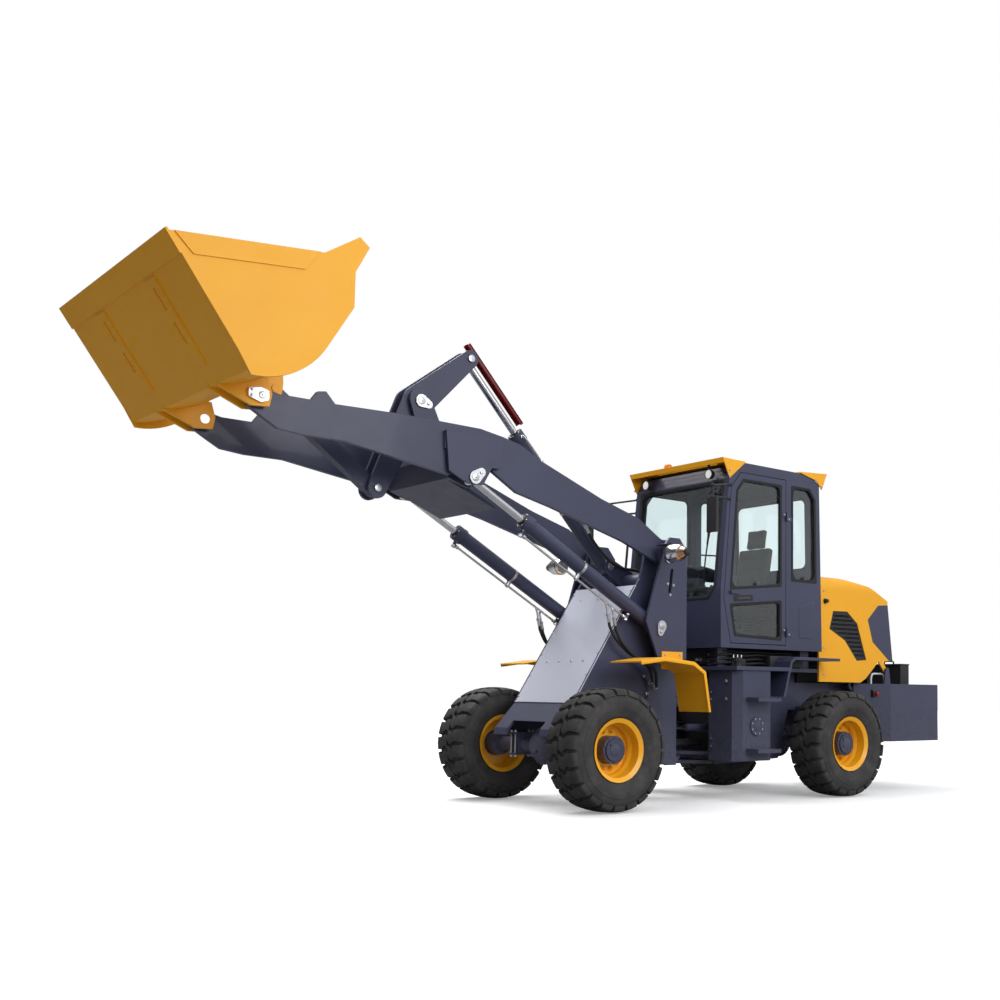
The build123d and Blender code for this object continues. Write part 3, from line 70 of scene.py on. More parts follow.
# %% Graph helper
class Graph:
    """The few calls that build a tree of shader nodes."""

    def __init__(self, tree):
        self.tree = tree

    def feed(self, socket, value):
        """Links an output to the socket, or sets it to a number, a colour or a direction."""
        if isinstance(value, bpy.types.NodeSocket):
            self.tree.links.new(value, socket)
        else:
            socket.default_value = (*value, 1) if isinstance(value, tuple) else value

    def node(self, kind, sockets=None, **settings):
        """Outputs of a new node, once its settings are made and its sockets are fed."""
        made = self.tree.nodes.new(kind)
        for key, value in settings.items():
            setattr(made, key, value)
        for socket, value in (sockets or {}).items():
            self.feed(made.inputs[socket], value)
        return made.outputs

    def ramp(self, source, low, high, start=0.0, end=1.0):
        """source from low..high spread over start..end."""
        return self.node("ShaderNodeMapRange", {"Value": source, "From Min": low, "From Max": high,
                                                "To Min": start, "To Max": end})["Result"]

    def math(self, operation, first, second=0.0):
        return self.node("ShaderNodeMath", {0: first, 1: second}, operation=operation)["Value"]


# %% Finish helper
class Finish(Graph):
    """A new material, and the patterns that give it life."""

    def __init__(self, name, colour, rough, metal=0.0, coat=0.0):
        self.material = bpy.data.materials.new(name)
        self.material.use_nodes = True
        super().__init__(self.material.node_tree)
        self.shader = self.tree.nodes["Principled BSDF"].inputs
        for socket, value in (("Base Color", colour), ("Roughness", rough), ("Metallic", metal),
                              ("Specular IOR Level", 0.5 if metal else 0.36),
                              ("Coat Weight", coat), ("Coat Roughness", 0.06)):
            self.feed(self.shader[socket], value)
        self.place = self.node("ShaderNodeTexCoord")["Object"]

    def noise(self, scale, detail=4.0, grain=0.5):
        return self.node("ShaderNodeTexNoise", {"Vector": self.place, "Scale": scale, "Detail": detail,
                                                "Roughness": grain})["Fac"]

    def blots(self, scale, detail, low, high, start=0.0, end=1.0, grain=0.5):
        """Noise whose values from low to high are spread over start..end."""
        return self.ramp(self.noise(scale, detail, grain), low, high, start, end)

    def axes(self):
        return self.node("ShaderNodeSeparateXYZ", {"Vector": self.place})

    def mix(self, factor, first, second):
        """Colour between first and second."""
        return self.node("ShaderNodeMix", {"Factor": factor, 6: first, 7: second}, data_type="RGBA")[2]

    def colour(self, source):
        self.feed(self.shader["Base Color"], source)

    def roughness(self, source):
        self.feed(self.shader["Roughness"], source)

    def bump(self, source, strength, distance, soften=0.0):
        """Bump from source, over edges that look rounded by soften metres."""
        sockets = {"Strength": strength, "Distance": distance, "Height": source}
        if soften:
            sockets["Normal"] = self.node("ShaderNodeBevel", {"Radius": soften}, samples=4)["Normal"]
        self.feed(self.shader["Normal"], self.node("ShaderNodeBump", sockets)["Normal"])


# %% [markdown]
# ## Paint
# Machine paint is sprayed thick and dries with a faint ripple, called orange peel. Dust settles low
# down and dulls the gloss there. Both come from noise at two scales; the colour itself shifts little.

# %% Paints
YELLOW = (0.92, 0.425, 0.006)
DUST = (0.30, 0.27, 0.24)
DUST_TOP, DUST_FLOOR = 1.1, 0.15             # heights where dust begins and where it is thickest
ORANGE_PEEL = (0.05, 0.002, 0.004)           # strength, depth and softened edge


def paint(name, colour, shade, rough, coat, dust=0.25):
    made = Finish(name, colour, rough, coat=coat)
    toned = made.mix(made.blots(1.7, 5.0, 0.35, 0.7, grain=0.6), colour, shade)
    low = made.ramp(made.axes()["Z"], DUST_TOP, DUST_FLOOR, 0.0, dust)
    speck = made.math("MULTIPLY", low, made.blots(34.0, 8.0, 0.35, 0.75, grain=0.7))
    made.colour(made.mix(speck, toned, DUST))
    made.roughness(made.math("ADD", made.blots(9.0, 6.0, 0.2, 0.8, rough - 0.05, rough + 0.06), speck))
    made.bump(made.noise(240.0, 2.0), *ORANGE_PEEL)
    return made.material


yellow_paint = paint("yellow_paint", YELLOW, (0.88, 0.39, 0.005), 0.48, 0.05, dust=0.08)
slate_paint = paint("slate_paint", (0.044, 0.048, 0.094), (0.037, 0.041, 0.080), 0.42, 0.10)
# The cover's own paint is a pale grey-blue. The colour here is lighter still: a painted sheen that stands in
# for the reflection its gloss shows.
cover_paint = paint("cover_paint", (0.60, 0.615, 0.72), (0.56, 0.575, 0.68), 0.20, 0.6)
axle_paint = paint("axle_paint", (0.085, 0.092, 0.155), (0.070, 0.076, 0.130), 0.42, 0.15)
machine_grey = paint("machine_grey", (0.028, 0.028, 0.034), (0.018, 0.018, 0.022), 0.55, 0.0, dust=0.5)
print("paints", 5)

# %% [markdown]
# ## Bare metal, rubber and plastic
# Cylinder rods are hard chrome, ground smooth. Pins and bolts are zinc plated, which is duller and
# slightly blotchy. Tyre rubber is never black: dust and bloom turn it grey-brown, in patches.

# %% Metals and rubbers
def plated(name, colour, rough, spread):
    made = Finish(name, colour, rough, metal=1.0)
    made.colour(made.mix(made.blots(18.0, 6.0, 0.3, 0.7), colour, tuple(c * 0.86 for c in colour)))
    made.roughness(made.blots(60.0, 5.0, 0.25, 0.75, rough - spread, rough + spread))
    return made.material


def moulded(name, colour, rough, grain=900.0, strength=0.25):
    made = Finish(name, colour, rough)
    made.colour(made.mix(made.blots(14.0, 6.0, 0.3, 0.7), colour, tuple(c * 1.35 for c in colour)))
    made.roughness(made.blots(40.0, 4.0, 0.3, 0.7, rough - 0.06, rough + 0.06))
    made.bump(made.noise(grain, 2.0), strength, 0.0006, soften=0.002)
    return made.material


def rubber():
    made = Finish("tyre_rubber", (0.030, 0.028, 0.027), 0.78)
    dust = made.blots(7.0, 8.0, 0.42, 0.72, 0.0, 0.55, grain=0.65)
    made.colour(made.mix(dust, (0.034, 0.032, 0.033), (0.082, 0.075, 0.071)))
    made.roughness(made.blots(22.0, 5.0, 0.3, 0.7, 0.62, 0.86))
    coarse = made.math("MULTIPLY", made.noise(60.0), 1.5)
    made.bump(made.math("ADD", made.noise(420.0, 3.0), coarse), 0.25, 0.0015)
    return made.material


chrome = plated("chrome", (0.62, 0.62, 0.64), 0.14, 0.04)
zinc = plated("zinc_plate", (0.58, 0.58, 0.60), 0.34, 0.08)
black_plastic = moulded("black_plastic", (0.016, 0.016, 0.018), 0.50)
seal_rubber = moulded("seal_rubber", (0.010, 0.010, 0.011), 0.62, 500.0)
trim_grey = moulded("trim_grey", (0.045, 0.047, 0.055), 0.6)
seat_vinyl = moulded("seat_vinyl", (0.020, 0.024, 0.024), 0.58, 1400.0, 0.15)
tyre_rubber = rubber()
print("metals, plastics and rubbers", 7)

# %% [markdown]
# ## Glass
# Cab glass is toughened and tinted a little green. Its edge shows the tint most. A thin pane with full
# transmission, a low tint and faint dust reads as glass without darkening the cab.

# %% Glass and lenses
def glass(name, colour, rough, transmission=1.0):
    made = Finish(name, colour, rough)
    made.feed(made.shader["Transmission Weight"], transmission)
    made.feed(made.shader["IOR"], 1.45)
    made.roughness(made.blots(26.0, 6.0, 0.55, 0.85, rough, rough + 0.03, grain=0.7))
    return made.material


cab_glass = glass("cab_glass", (0.86, 0.94, 0.95), 0.0)
lens_clear = glass("lens_clear", (0.93, 0.95, 0.96), 0.02)
lens_amber = glass("lens_amber", (0.95, 0.28, 0.02), 0.12, 0.55)
lens_red = glass("lens_red", (0.60, 0.015, 0.010), 0.10, 0.35)
print("glass and lenses", 4)

# %% [markdown]
# ## Finishes on the steel
# The frame names a finish for every piece. Each name is given its material here. A wheel carries two
# paints, a yellow rim round a slate hub. A mask over the object's coordinates parts the colours, so
# one mesh can wear both.

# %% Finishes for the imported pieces
CORNERS = ("front_left", "front_right", "rear_left", "rear_right")
HUB_EDGE, HUB_BLUR = 0.1135, 0.0006
HUB_SLATE = (0.036, 0.040, 0.076)
finish_of_slot = {
    "yellow_paint": yellow_paint, "slate_paint": slate_paint, "cover_paint": cover_paint,
    "tyre_rubber": tyre_rubber, "chrome": chrome, "machine_grey": machine_grey, "axle_paint": axle_paint,
    "glass": cab_glass, "black_plastic": black_plastic, "seat_cover": seat_vinyl, "pin_steel": zinc,
    "lamp": lens_clear,
}


def wheel_centre(corner):
    low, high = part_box("tyre_" + corner)
    return (low + high) / 2


def wheel_paint(corner):
    """Slate within HUB_EDGE of the axle, yellow beyond it."""
    axle = wheel_centre(corner)
    made = Finish("wheel_paint_" + corner, (0.5, 0.5, 0.5), 0.36, coat=0.3)
    place = made.axes()
    across = made.math("SUBTRACT", place["X"], axle.x)
    above = made.math("SUBTRACT", place["Z"], axle.z)
    square = made.math("ADD", made.math("MULTIPLY", across, across), made.math("MULTIPLY", above, above))
    beyond_hub = made.ramp(made.math("SQRT", square), HUB_EDGE, HUB_EDGE + HUB_BLUR)
    speck = made.blots(24.0, 8.0, 0.45, 0.8, 0.0, 0.14, grain=0.7)
    made.colour(made.mix(speck, made.mix(beyond_hub, HUB_SLATE, YELLOW), (0.26, 0.23, 0.20)))
    made.roughness(made.math("ADD", made.blots(9.0, 6.0, 0.2, 0.8, 0.32, 0.44), speck))
    made.bump(made.noise(240.0, 2.0), *ORANGE_PEEL)
    return made.material


for part in frame["record"]["subparts"]:
    nodes[part["node"]].material_slots[0].material = finish_of_slot[part["material_slot"]]
for corner in CORNERS:
    nodes["wheel_" + corner].material_slots[0].material = wheel_paint(corner)

# %% [markdown]
# ## New pieces
# A new piece starts as one form, a bmesh, for each of its finishes. `new_piece` joins its forms into
# an object at the origin and lets it ride on a body. It shades by angle, so flats stay flat and rounds
# turn round.

# %% Piece helpers
slot_of = {finish: slot for slot, finish in finish_of_slot.items()}
slot_of.update({seal_rubber: "black_plastic", trim_grey: "black_plastic",
                lens_red: "lamp", lens_amber: "lamp"})


def new_forms(count):
    return [bmesh.new() for number in range(count)]


def pour(form, target):
    """Moves the faces of a form into target."""
    carrier = bpy.data.meshes.new("carrier")
    form.to_mesh(carrier)
    form.free()
    target.from_mesh(carrier)
    bpy.data.meshes.remove(carrier)


def new_object(name, form):
    mesh = bpy.data.meshes.new(name)
    form.to_mesh(mesh)
    form.free()
    made = bpy.data.objects.new(name, mesh)
    bpy.context.scene.collection.objects.link(made)
    return made


def new_piece(name, forms, body, finishes, crease=35):
    """One form and finish, or a list of each."""
    if not isinstance(forms, list):
        forms, finishes = [forms], [finishes]
    whole = bmesh.new()
    for number, form in enumerate(forms):
        bmesh.ops.recalc_face_normals(form, faces=form.faces)
        for face in form.faces:
            face.material_index = number
        pour(form, whole)
    piece = new_object(name, whole)
    for finish in finishes:
        piece.data.materials.append(finish)
    piece.data.shade_smooth()
    piece.data.set_sharp_from_angle(angle=math.radians(crease))
    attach(piece, body)
    return piece


# %% [markdown]
# Nearly all the hardware is made of four solids: a disc, a bolt, a box and a spun profile. A sharp edge
# never glints, so the first three can have their edges rounded.

# %% Solids
def facing(direction):
    """Rotation that turns +Z to direction."""
    return Vector(direction).to_track_quat("Z", "Y").to_matrix().to_4x4()


def around(count, radius, first=0.5):
    """Places (across, up) on a circle; first is how many steps the first one lies past the top."""
    for number in range(count):
        angle = math.tau * (number + first) / count
        yield radius * math.sin(angle), radius * math.cos(angle)


def edges_of(verts):
    return list(dict.fromkeys(edge for vert in verts for edge in vert.link_edges))


def round_off(target, edges, offset, segments=2):
    bmesh.ops.bevel(target, geom=edges, offset=offset, segments=segments, affect="EDGES", profile=0.5,
                    material=-1)


def add_disc(target, centre, direction, radius, thickness, sides=24, edge=0.0):
    """Round or hexagonal plate standing on centre, with its far rim rounded by edge."""
    matrix = Matrix.Translation(centre) @ facing(direction) @ Matrix.Translation((0, 0, thickness / 2))
    made = bmesh.ops.create_cone(target, cap_ends=True, segments=sides, radius1=radius, radius2=radius,
                                 depth=thickness, matrix=matrix)["verts"]
    if edge:
        centre, normal = Vector(centre), Vector(direction).normalized()
        round_off(target, [e for e in edges_of(made)
                           if all((v.co - centre).dot(normal) > thickness * 0.9 for v in e.verts)], edge)


def add_bolt(target, centre, direction, size=0.012):
    """Hexagon head on a washer."""
    axis = Vector(direction).normalized()
    add_disc(target, centre, axis, size * 1.25, size * 0.25, 20)
    add_disc(target, Vector(centre) + axis * size * 0.25, axis, size, size * 0.7, 6, size * 0.12)


def add_box(target, corner, opposite, edge=0.0):
    """Box between two opposite corners, all its edges rounded by edge."""
    corner, opposite = Vector(corner), Vector(opposite)
    size = [abs(value) for value in opposite - corner]
    made = bmesh.ops.create_cube(target, size=1.0, matrix=Matrix.Translation((corner + opposite) / 2)
                                 @ Matrix.Diagonal((*size, 1)))["verts"]
    if edge:
        round_off(target, edges_of(made), edge)


def add_spin(target, profile, centre, axis, start, steps=64):
    """Surface of revolution: profile holds (along the axis, radius); start points from the axis."""
    axis, start = Vector(axis).normalized(), Vector(start).normalized()
    ring = [target.verts.new(Vector(centre) + axis * along + start * radius) for along, radius in profile]
    edges = [target.edges.new(pair) for pair in zip(ring, ring[1:])]
    before = set(target.verts)
    bmesh.ops.spin(target, geom=ring + edges, cent=centre, axis=axis, angle=math.tau, steps=steps,
                   use_merge=True)
    made = [v for v in target.verts if v not in before] + ring
    bmesh.ops.remove_doubles(target, verts=[v for v in made if v.is_valid], dist=1e-5)


# %% [markdown]
# ## Tyres
# A loader tyre is a plain casing with a ring of thick lugs. Each lug starts near the middle of the
# tread, kinks once, widens towards the shoulder and turns down over it. A lug is made flat, as a grid
# that is extruded and bevelled; then it is laid over the casing's cross-section and repeated.

# %% Tyres
tyre_low, tyre_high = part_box("tyre_front_left")
TYRE_RADIUS = (tyre_high.z - tyre_low.z) / 2
TYRE_HALF = (tyre_high.y - tyre_low.y) / 2
LUGS_PER_SIDE = 22
LUG_DEPTH, LUG_ROOT = 0.026, 0.006           # height over the casing, and what lies hidden in it
LUG_START, LUG_SKIRT = 0.004, 0.020          # from the tyre's middle, and past the shoulder
CROWN_DROP = 0.010                           # fall of the tread from its middle to the shoulder
SHOULDER, SHOULDER_TURN = 0.034, math.radians(72)     # radius and angle of the turn to the sidewall
FLAT = TYRE_HALF - 0.006 - SHOULDER
# the casing's section from its inner bead to its middle: (distance outboard, radius)
CASING = ((-0.112, 0.2305), (-0.120, 0.240), (-0.138, 0.247), (-0.150, 0.256), (-0.158, 0.262),
          (-0.172, 0.290), (-0.184, 0.325), (-0.187, 0.330), (-0.190, 0.352), (-0.1895, 0.378),
          (-0.186, 0.381), (-0.184, 0.398), (-0.176, 0.424), (-0.162, 0.446), (-0.140, 0.459),
          (-0.070, 0.4650), (0.0, 0.4665))


def over_tread(run):
    """Cross-section of the lug tops: distance from the middle, radius, and outward direction."""
    tilt = 2 * CROWN_DROP / FLAT
    if run <= FLAT:
        lean = tilt * run / FLAT
        return run, TYRE_RADIUS - CROWN_DROP * (run / FLAT) ** 2, (math.sin(lean), math.cos(lean))
    turn = min((run - FLAT) / SHOULDER, SHOULDER_TURN) + tilt
    beyond = max(run - FLAT - SHOULDER * SHOULDER_TURN, 0.0)
    y = FLAT + SHOULDER * (math.sin(turn) - math.sin(tilt)) + beyond * math.cos(turn)
    r = TYRE_RADIUS - CROWN_DROP - SHOULDER * (math.cos(tilt) - math.cos(turn)) - beyond * math.sin(turn)
    return y, r, (math.sin(turn), math.cos(turn))


def lug_edges(share):
    """Trailing and leading edge of a lug, in metres round the tread, at a share of its length."""
    kink = 0.030 * math.sin(min(share * 2.6, 1.0) * math.pi) - 0.006 * share
    half = 0.045 + 0.012 * share
    return kink - half, kink + half


def add_lug(target, hand, angle):
    flat = bmesh.new()
    bmesh.ops.create_grid(flat, x_segments=12, y_segments=2, size=0.5)
    lower = bmesh.ops.extrude_face_region(flat, geom=list(flat.faces))
    base = [item for item in lower["geom"] if isinstance(item, bmesh.types.BMVert)]
    bmesh.ops.translate(flat, verts=base, vec=(0, 0, -1))
    bmesh.ops.recalc_face_normals(flat, faces=flat.faces)
    round_off(flat, [e for e in flat.edges if len(e.link_faces) == 2
                     and all(abs(v.co.z) < 0.1 for v in e.verts)
                     and any(abs(f.normal.z) < 0.5 for f in e.link_faces)], 0.03, 1)
    length = FLAT + SHOULDER * SHOULDER_TURN + LUG_SKIRT
    for vert in flat.verts:
        share, sunk = vert.co.x + 0.5, -vert.co.z * (LUG_DEPTH + LUG_ROOT)
        trail, lead = lug_edges(share)
        draft = 0.006 * max(-vert.co.z, 0.0)
        round_trip = trail - draft + (lead - trail + 2 * draft) * (vert.co.y + 0.5)
        y, radius, normal = over_tread(LUG_START + share * (length - LUG_START))
        turn = angle + hand * round_trip / TYRE_RADIUS
        radius -= sunk * normal[1]
        vert.co = Vector((radius * math.sin(turn), hand * (y - sunk * normal[0]), radius * math.cos(turn)))
    pour(flat, target)


def make_tyre(corner):
    tyre = bmesh.new()
    profile = list(CASING) + [(-y, r) for y, r in reversed(CASING[:-1])]
    add_spin(tyre, profile, (0, 0, 0), (0, 1, 0), (0, 0, 1), 88)
    for side, first in ((1, 0.0), (-1, 0.5)):
        for number in range(LUGS_PER_SIDE):
            add_lug(tyre, side, math.tau * (number + first) / LUGS_PER_SIDE)
    bmesh.ops.translate(tyre, verts=tyre.verts, vec=wheel_centre(corner))
    piece = new_piece("tyre_tread_" + corner, tyre, "wheel_" + corner, tyre_rubber, crease=28)
    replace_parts(piece, "tyre_" + corner)
    return piece


for corner in CORNERS:
    made = make_tyre(corner)
print("tyre faces", len(made.data.polygons))

# %% [markdown]
# ## Places on the machine
# All the sizes below are in millimetres from the upright pin that joins the machine's two halves: x
# forward, y to its left, z above the ground. One call turns such a place into the scene's metres, and
# the pin itself is read from the frame.

# %% Places
pin_low, pin_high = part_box("hinge_pins")
PIN_X = (pin_low.x + pin_high.x) / 2
BOTH = (1, -1)
SIDES = (("left", 1), ("right", -1))
AHEAD, UP = (1, 0, 0), (0, 0, 1)


def at(x, y, z):
    return Vector((PIN_X + x / 1000, y / 1000, z / 1000))


def bolt_side(target, sign, y, size, *places):
    """Bolts on a face that looks sideways at y; places are (x, z)."""
    for x, z in places:
        add_bolt(target, at(x, sign * y, z), (0, sign, 0), size)


print("articulation pin at", round(PIN_X, 4))

# %% [markdown]
# Three more ways to make a form. A tube follows a bent line and carries its cross-section along without
# twisting it. A rounded loop is an outline drawn in and given round corners. A band joins such loops,
# row by row, into rubber seals, lids and pressed panels.

# %% Tubes, loops and bands
def smooth_line(points, steps=8):
    """Points on a Catmull-Rom curve through the given ones."""
    line = [points[0] + (points[0] - points[1])] + list(points) + [points[-1] + (points[-1] - points[-2])]
    run = []
    for a, b, c, d in zip(line, line[1:], line[2:], line[3:]):
        for number in range(steps):
            t = number / steps
            run.append(0.5 * (2 * b + (c - a) * t + (2 * a - 5 * b + 4 * c - d) * t * t
                              + (3 * b - 3 * c + d - a) * t ** 3))
    return run + [line[-2]]


def course(places, steps=5):
    """Smooth line through places in millimetres."""
    return smooth_line([at(*place) for place in places], steps)


def join_rings(target, rings):
    for lower, upper in zip(rings, rings[1:]):
        for number in range(len(lower)):
            after = (number + 1) % len(lower)
            target.faces.new((lower[number], lower[after], upper[after], upper[number]))


def add_tube(target, line, radius, sides=12):
    """Closed round tube along a line of points; radius is in metres."""
    tangent = (line[1] - line[0]).normalized()
    across = tangent.orthogonal().normalized()
    rings = []
    for number, point in enumerate(line):
        ahead = line[min(number + 1, len(line) - 1)] - line[max(number - 1, 0)]
        turn = tangent.rotation_difference(ahead.normalized())
        across, tangent = turn @ across, ahead.normalized()
        other = tangent.cross(across)
        rings.append([target.verts.new(point + radius * (math.cos(a) * across + math.sin(a) * other))
                      for a in (math.tau * side / sides for side in range(sides))])
    join_rings(target, rings)
    for ring in (rings[0], rings[-1]):
        target.faces.new(ring)


def rounded_loop(outline, inset, radius, steps=5):
    """Outline (u, v) drawn in by inset, each corner an arc; steps + 1 points a corner."""
    turned = sum(a[0] * b[1] - b[0] * a[1] for a, b in zip(outline, outline[1:] + outline[:1]))
    line = [Vector(p) for p in (outline if turned > 0 else outline[::-1])]
    loop = []
    for before, here, after in zip(line[-1:] + line[:-1], line, line[1:] + line[:1]):
        first, second = (here - before).normalized(), (after - here).normalized()
        inward, inward_next = Vector((-first.y, first.x)), Vector((-second.y, second.x))
        corner = here + (inward + inward_next) * inset / (1 + inward.dot(inward_next))
        bend = math.atan2(first.x * second.y - first.y * second.x, first.dot(second))
        start = corner - first * radius * math.tan(abs(bend) / 2)
        centre = start + inward * math.copysign(radius, bend)
        arm = start - centre
        for part in (bend * step / steps for step in range(steps + 1)):
            loop.append(centre + Vector((arm.x * math.cos(part) - arm.y * math.sin(part),
                                         arm.x * math.sin(part) + arm.y * math.cos(part))))
    return loop


def add_band(target, rows, place, close=False):
    """Joins rows of (loop, height) with faces; place(u, v, height) gives the point."""
    rings = [[target.verts.new(place(p.x, p.y, height)) for p in loop] for loop, height in rows]
    join_rings(target, rings)
    if close:
        target.faces.new(rings[-1])
    bmesh.ops.remove_doubles(target, verts=[v for ring in rings for v in ring], dist=1e-6)


def add_pressing(target, outline, place, rise, edge, radius):
    """Raised flat panel whose rim is rounded off over edge."""
    rows = ((0, -0.5), (0.3 * edge, 0.75 * rise), (edge, rise), (edge + 1, rise))
    add_band(target, [(rounded_loop(outline, inset, radius), height) for inset, height in rows], place,
             close=True)


# %% [markdown]
# ## Window rubbers
# A cab pane sits in a rubber profile that is pushed over the edge of the sheet metal. It covers the cut
# edge outside, turns the pane's corners round, and its lip lies on the glass. Every window gets one,
# made of five rows: over the metal, up, across, down and in to the pane.

# %% Window rubbers
CAB_Y = 630
PANE_DEPTH = 17                              # the panes lie this far inside the cab's skin
KNEE_Z, SILL_Z = 1870, 1355                  # the cab's front leans back above its knee
REAR_LEAN = 0.0251
UPPER_WINDOW = ((-150, 1885), (-228, 2780), (-310, 2885), (-810, 2885), (-810, 1950))
LOWER_WINDOW = ((-205, 1470), (-150, 1740), (-810, 1805), (-810, 1450))
QUARTER_WINDOW = ((-960, 2010), (-960, 2895), (-1210, 2895), (-1285, 2800), (-1300, 2010))
WINDSCREEN = ((-560, 1900), (-470, 1800), (470, 1800), (560, 1900), (560, 2860), (-560, 2860))
REAR_WINDOW = ((-470, 2150), (470, 2150), (470, 2850), (-470, 2850))


def window_rubber(name, body, outline, place, radius=48, width=17):
    seal = bmesh.new()
    rows = ((-10, 16, 0.3), (-8.5, 16, 3.5), (width - 7, radius, 5.0), (width, radius, 2.0),
            (width + 1, radius, -PANE_DEPTH))
    add_band(seal, [(rounded_loop(outline, inset, corner, 7), height) for inset, corner, height in rows],
             place)
    new_piece(name, seal, body, seal_rubber, crease=50)


def on_side(sign, skin=CAB_Y):
    """Places on the side wall at y = skin: u runs forward, v up, height outward."""
    return lambda u, v, height: at(u, sign * (skin + height), v)


def on_front(u, v, height):
    lean = 0.1 * (v - KNEE_Z) if v > KNEE_Z else 6 * (KNEE_Z - v) / (KNEE_Z - SILL_Z)
    return at(-24 - lean + height, u, v)


def on_back(u, v, height):
    return at(-1345 - (2950 - v) * REAR_LEAN - height, u, v)


for face, sign in SIDES:
    window_rubber("door_rubber_upper_" + face, "door_" + face, UPPER_WINDOW, on_side(sign))
    window_rubber("door_rubber_lower_" + face, "door_" + face, LOWER_WINDOW, on_side(sign), 30)
    window_rubber("quarter_rubber_" + face, "rear", QUARTER_WINDOW, on_side(sign), 60)
window_rubber("windscreen_rubber", "rear", WINDSCREEN, on_front, 60, 22)
window_rubber("rear_window_rubber", "rear", REAR_WINDOW, on_back, 60)
print("window rubbers", 8)

# %% [markdown]
# ## Doors and side panels
# A door is opened by a paddle in a recess, and behind it the cab's side is stiffened by a pressed
# panel. Both are raised or sunk only a few millimetres, which is enough for light to draw their edges.

# %% Door handles, pressed panels and hinges
PRESSED_PANEL = ((-1262, 1470), (-1055, 1470), (-1055, 1770), (-1262, 1835))
HANDLE = ((-440, 1792), (-190, 1768), (-190, 1822), (-440, 1846))
PADDLE = ((-400, 1803), (-232, 1787), (-232, 1808), (-400, 1826))


def make_door_details(face, sign):
    door = "door_" + face
    bezel, paddle, panel = new_forms(3)
    add_pressing(bezel, HANDLE, on_side(sign), 3.0, 4.0, 14)
    new_piece("handle_recess_" + face, bezel, door, black_plastic)
    add_pressing(paddle, PADDLE, on_side(sign, CAB_Y + 3), 7.0, 3.5, 7)
    bolt_side(paddle, sign, CAB_Y + 3, 0.007, (-420, 1819), (-212, 1796))
    new_piece("door_handle_" + face, paddle, door, trim_grey)
    add_pressing(panel, PRESSED_PANEL, on_side(sign), 4.0, 9.0, 16)
    new_piece("pressed_panel_" + face, panel, "rear", slate_paint)
    for name, body, x, z in (("frame_hinge_bolts_", "rear", -915, 1500),
                             ("door_hinge_bolts_", door, -850, 1538)):
        hinge = bmesh.new()
        bolt_side(hinge, sign, CAB_Y + 5, 0.008, (x, z), (x, z + 1080))
        new_piece(name + face, hinge, body, zinc)


for face, sign in SIDES:
    make_door_details(face, sign)
print("doors dressed", len(SIDES))

# %% [markdown]
# ## Wiper
# The wiper hangs from the top corner of the windscreen. Its arm is a flat spring steel strip, and the
# blade is a thin rubber in a frame that bows over the glass.

# %% Wiper
WIPER_LINES = (                              # arm, blade, and the two washer pipes: radius, places
    (0.006, ((430, 2760, 12), (436, 2600, 24), (420, 2380, 6), (412, 2290, 2))),
    (0.007, ((448, 2560, -13), (432, 2420, -5), (415, 2290, -2), (400, 2150, -5), (388, 2030, -13))),
    (0.005, ((455, 2790, 2), (500, 2805, 14), (540, 2750, 8))),
    (0.005, ((440, 2740, 2), (500, 2755, 14), (545, 2690, 8))))


def make_wiper():
    wiper = bmesh.new()
    foot = on_front(430, 2760, -16)
    add_disc(wiper, foot, on_front(430, 2760, 20) - foot, 0.020, 0.036)
    for radius, places in WIPER_LINES:
        add_tube(wiper, smooth_line([on_front(*place) for place in places], 6), radius, 8)
    return new_piece("wiper", wiper, "rear", black_plastic)


print("made", make_wiper().name)

# %% [markdown]
# ## Lamps
# A work lamp is a black pot closed by a pale diffusing lens. The headlamps on the towers are
# polished bowls that taper, through a copper-brown cone, to a cable gland. The beacon is a ribbed
# amber dome on a black foot.

# %% Lamps
reflector = plated("reflector", (0.92, 0.92, 0.90), 0.16, 0.06)
lamp_cone = plated("lamp_cone", (0.52, 0.38, 0.31), 0.24, 0.06)
lamp_glow = moulded("lamp_diffuser", (0.86, 0.86, 0.84), 0.30, 60.0, 0.15)
HEAD_LAMP_BRACKET = (((560, 585, 2197), (700, 745, 2207)), ((470, 585, 2197), (600, 593, 2225)),
                     ((680, 735, 2150), (700, 745, 2207)))


def make_cab_lamps():
    pot, glow, amber = lamps = new_forms(3)
    for y in (-430, 430):
        back = at(-118, y, 2930)
        add_spin(pot, ((0, 0), (0, 0.022), (0.016, 0.040), (0.052, 0.0445), (0.060, 0.0445), (0.060, 0.040)),
                 back, AHEAD, UP, 32)
        add_box(pot, at(-71, y - 14, 2966), at(-60, y + 14, 3043), 0.002)
        add_spin(glow, ((0.058, 0.040), (0.0585, 0.030), (0.0595, 0.015), (0.060, 0)), back, AHEAD, UP, 32)
    foot = at(-260, -330, 3053.6)
    add_spin(pot, ((0, 0.045), (0.018, 0.045), (0.020, 0.043), (0.020, 0)), foot, UP, AHEAD, 32)
    dome = [(0.020, 0.040)] + [(0.020 + 0.0085 * n, 0.0385 + 0.0015 * (n % 2)) for n in range(1, 7)]
    add_spin(amber, dome + [(0.080, 0.037), (0.089, 0.030), (0.094, 0.016), (0.095, 0)], foot, UP, AHEAD, 32)
    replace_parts(new_piece("cab_lamp_set", lamps, "rear", [black_plastic, lamp_glow, lens_amber]),
                "cab_lamps")


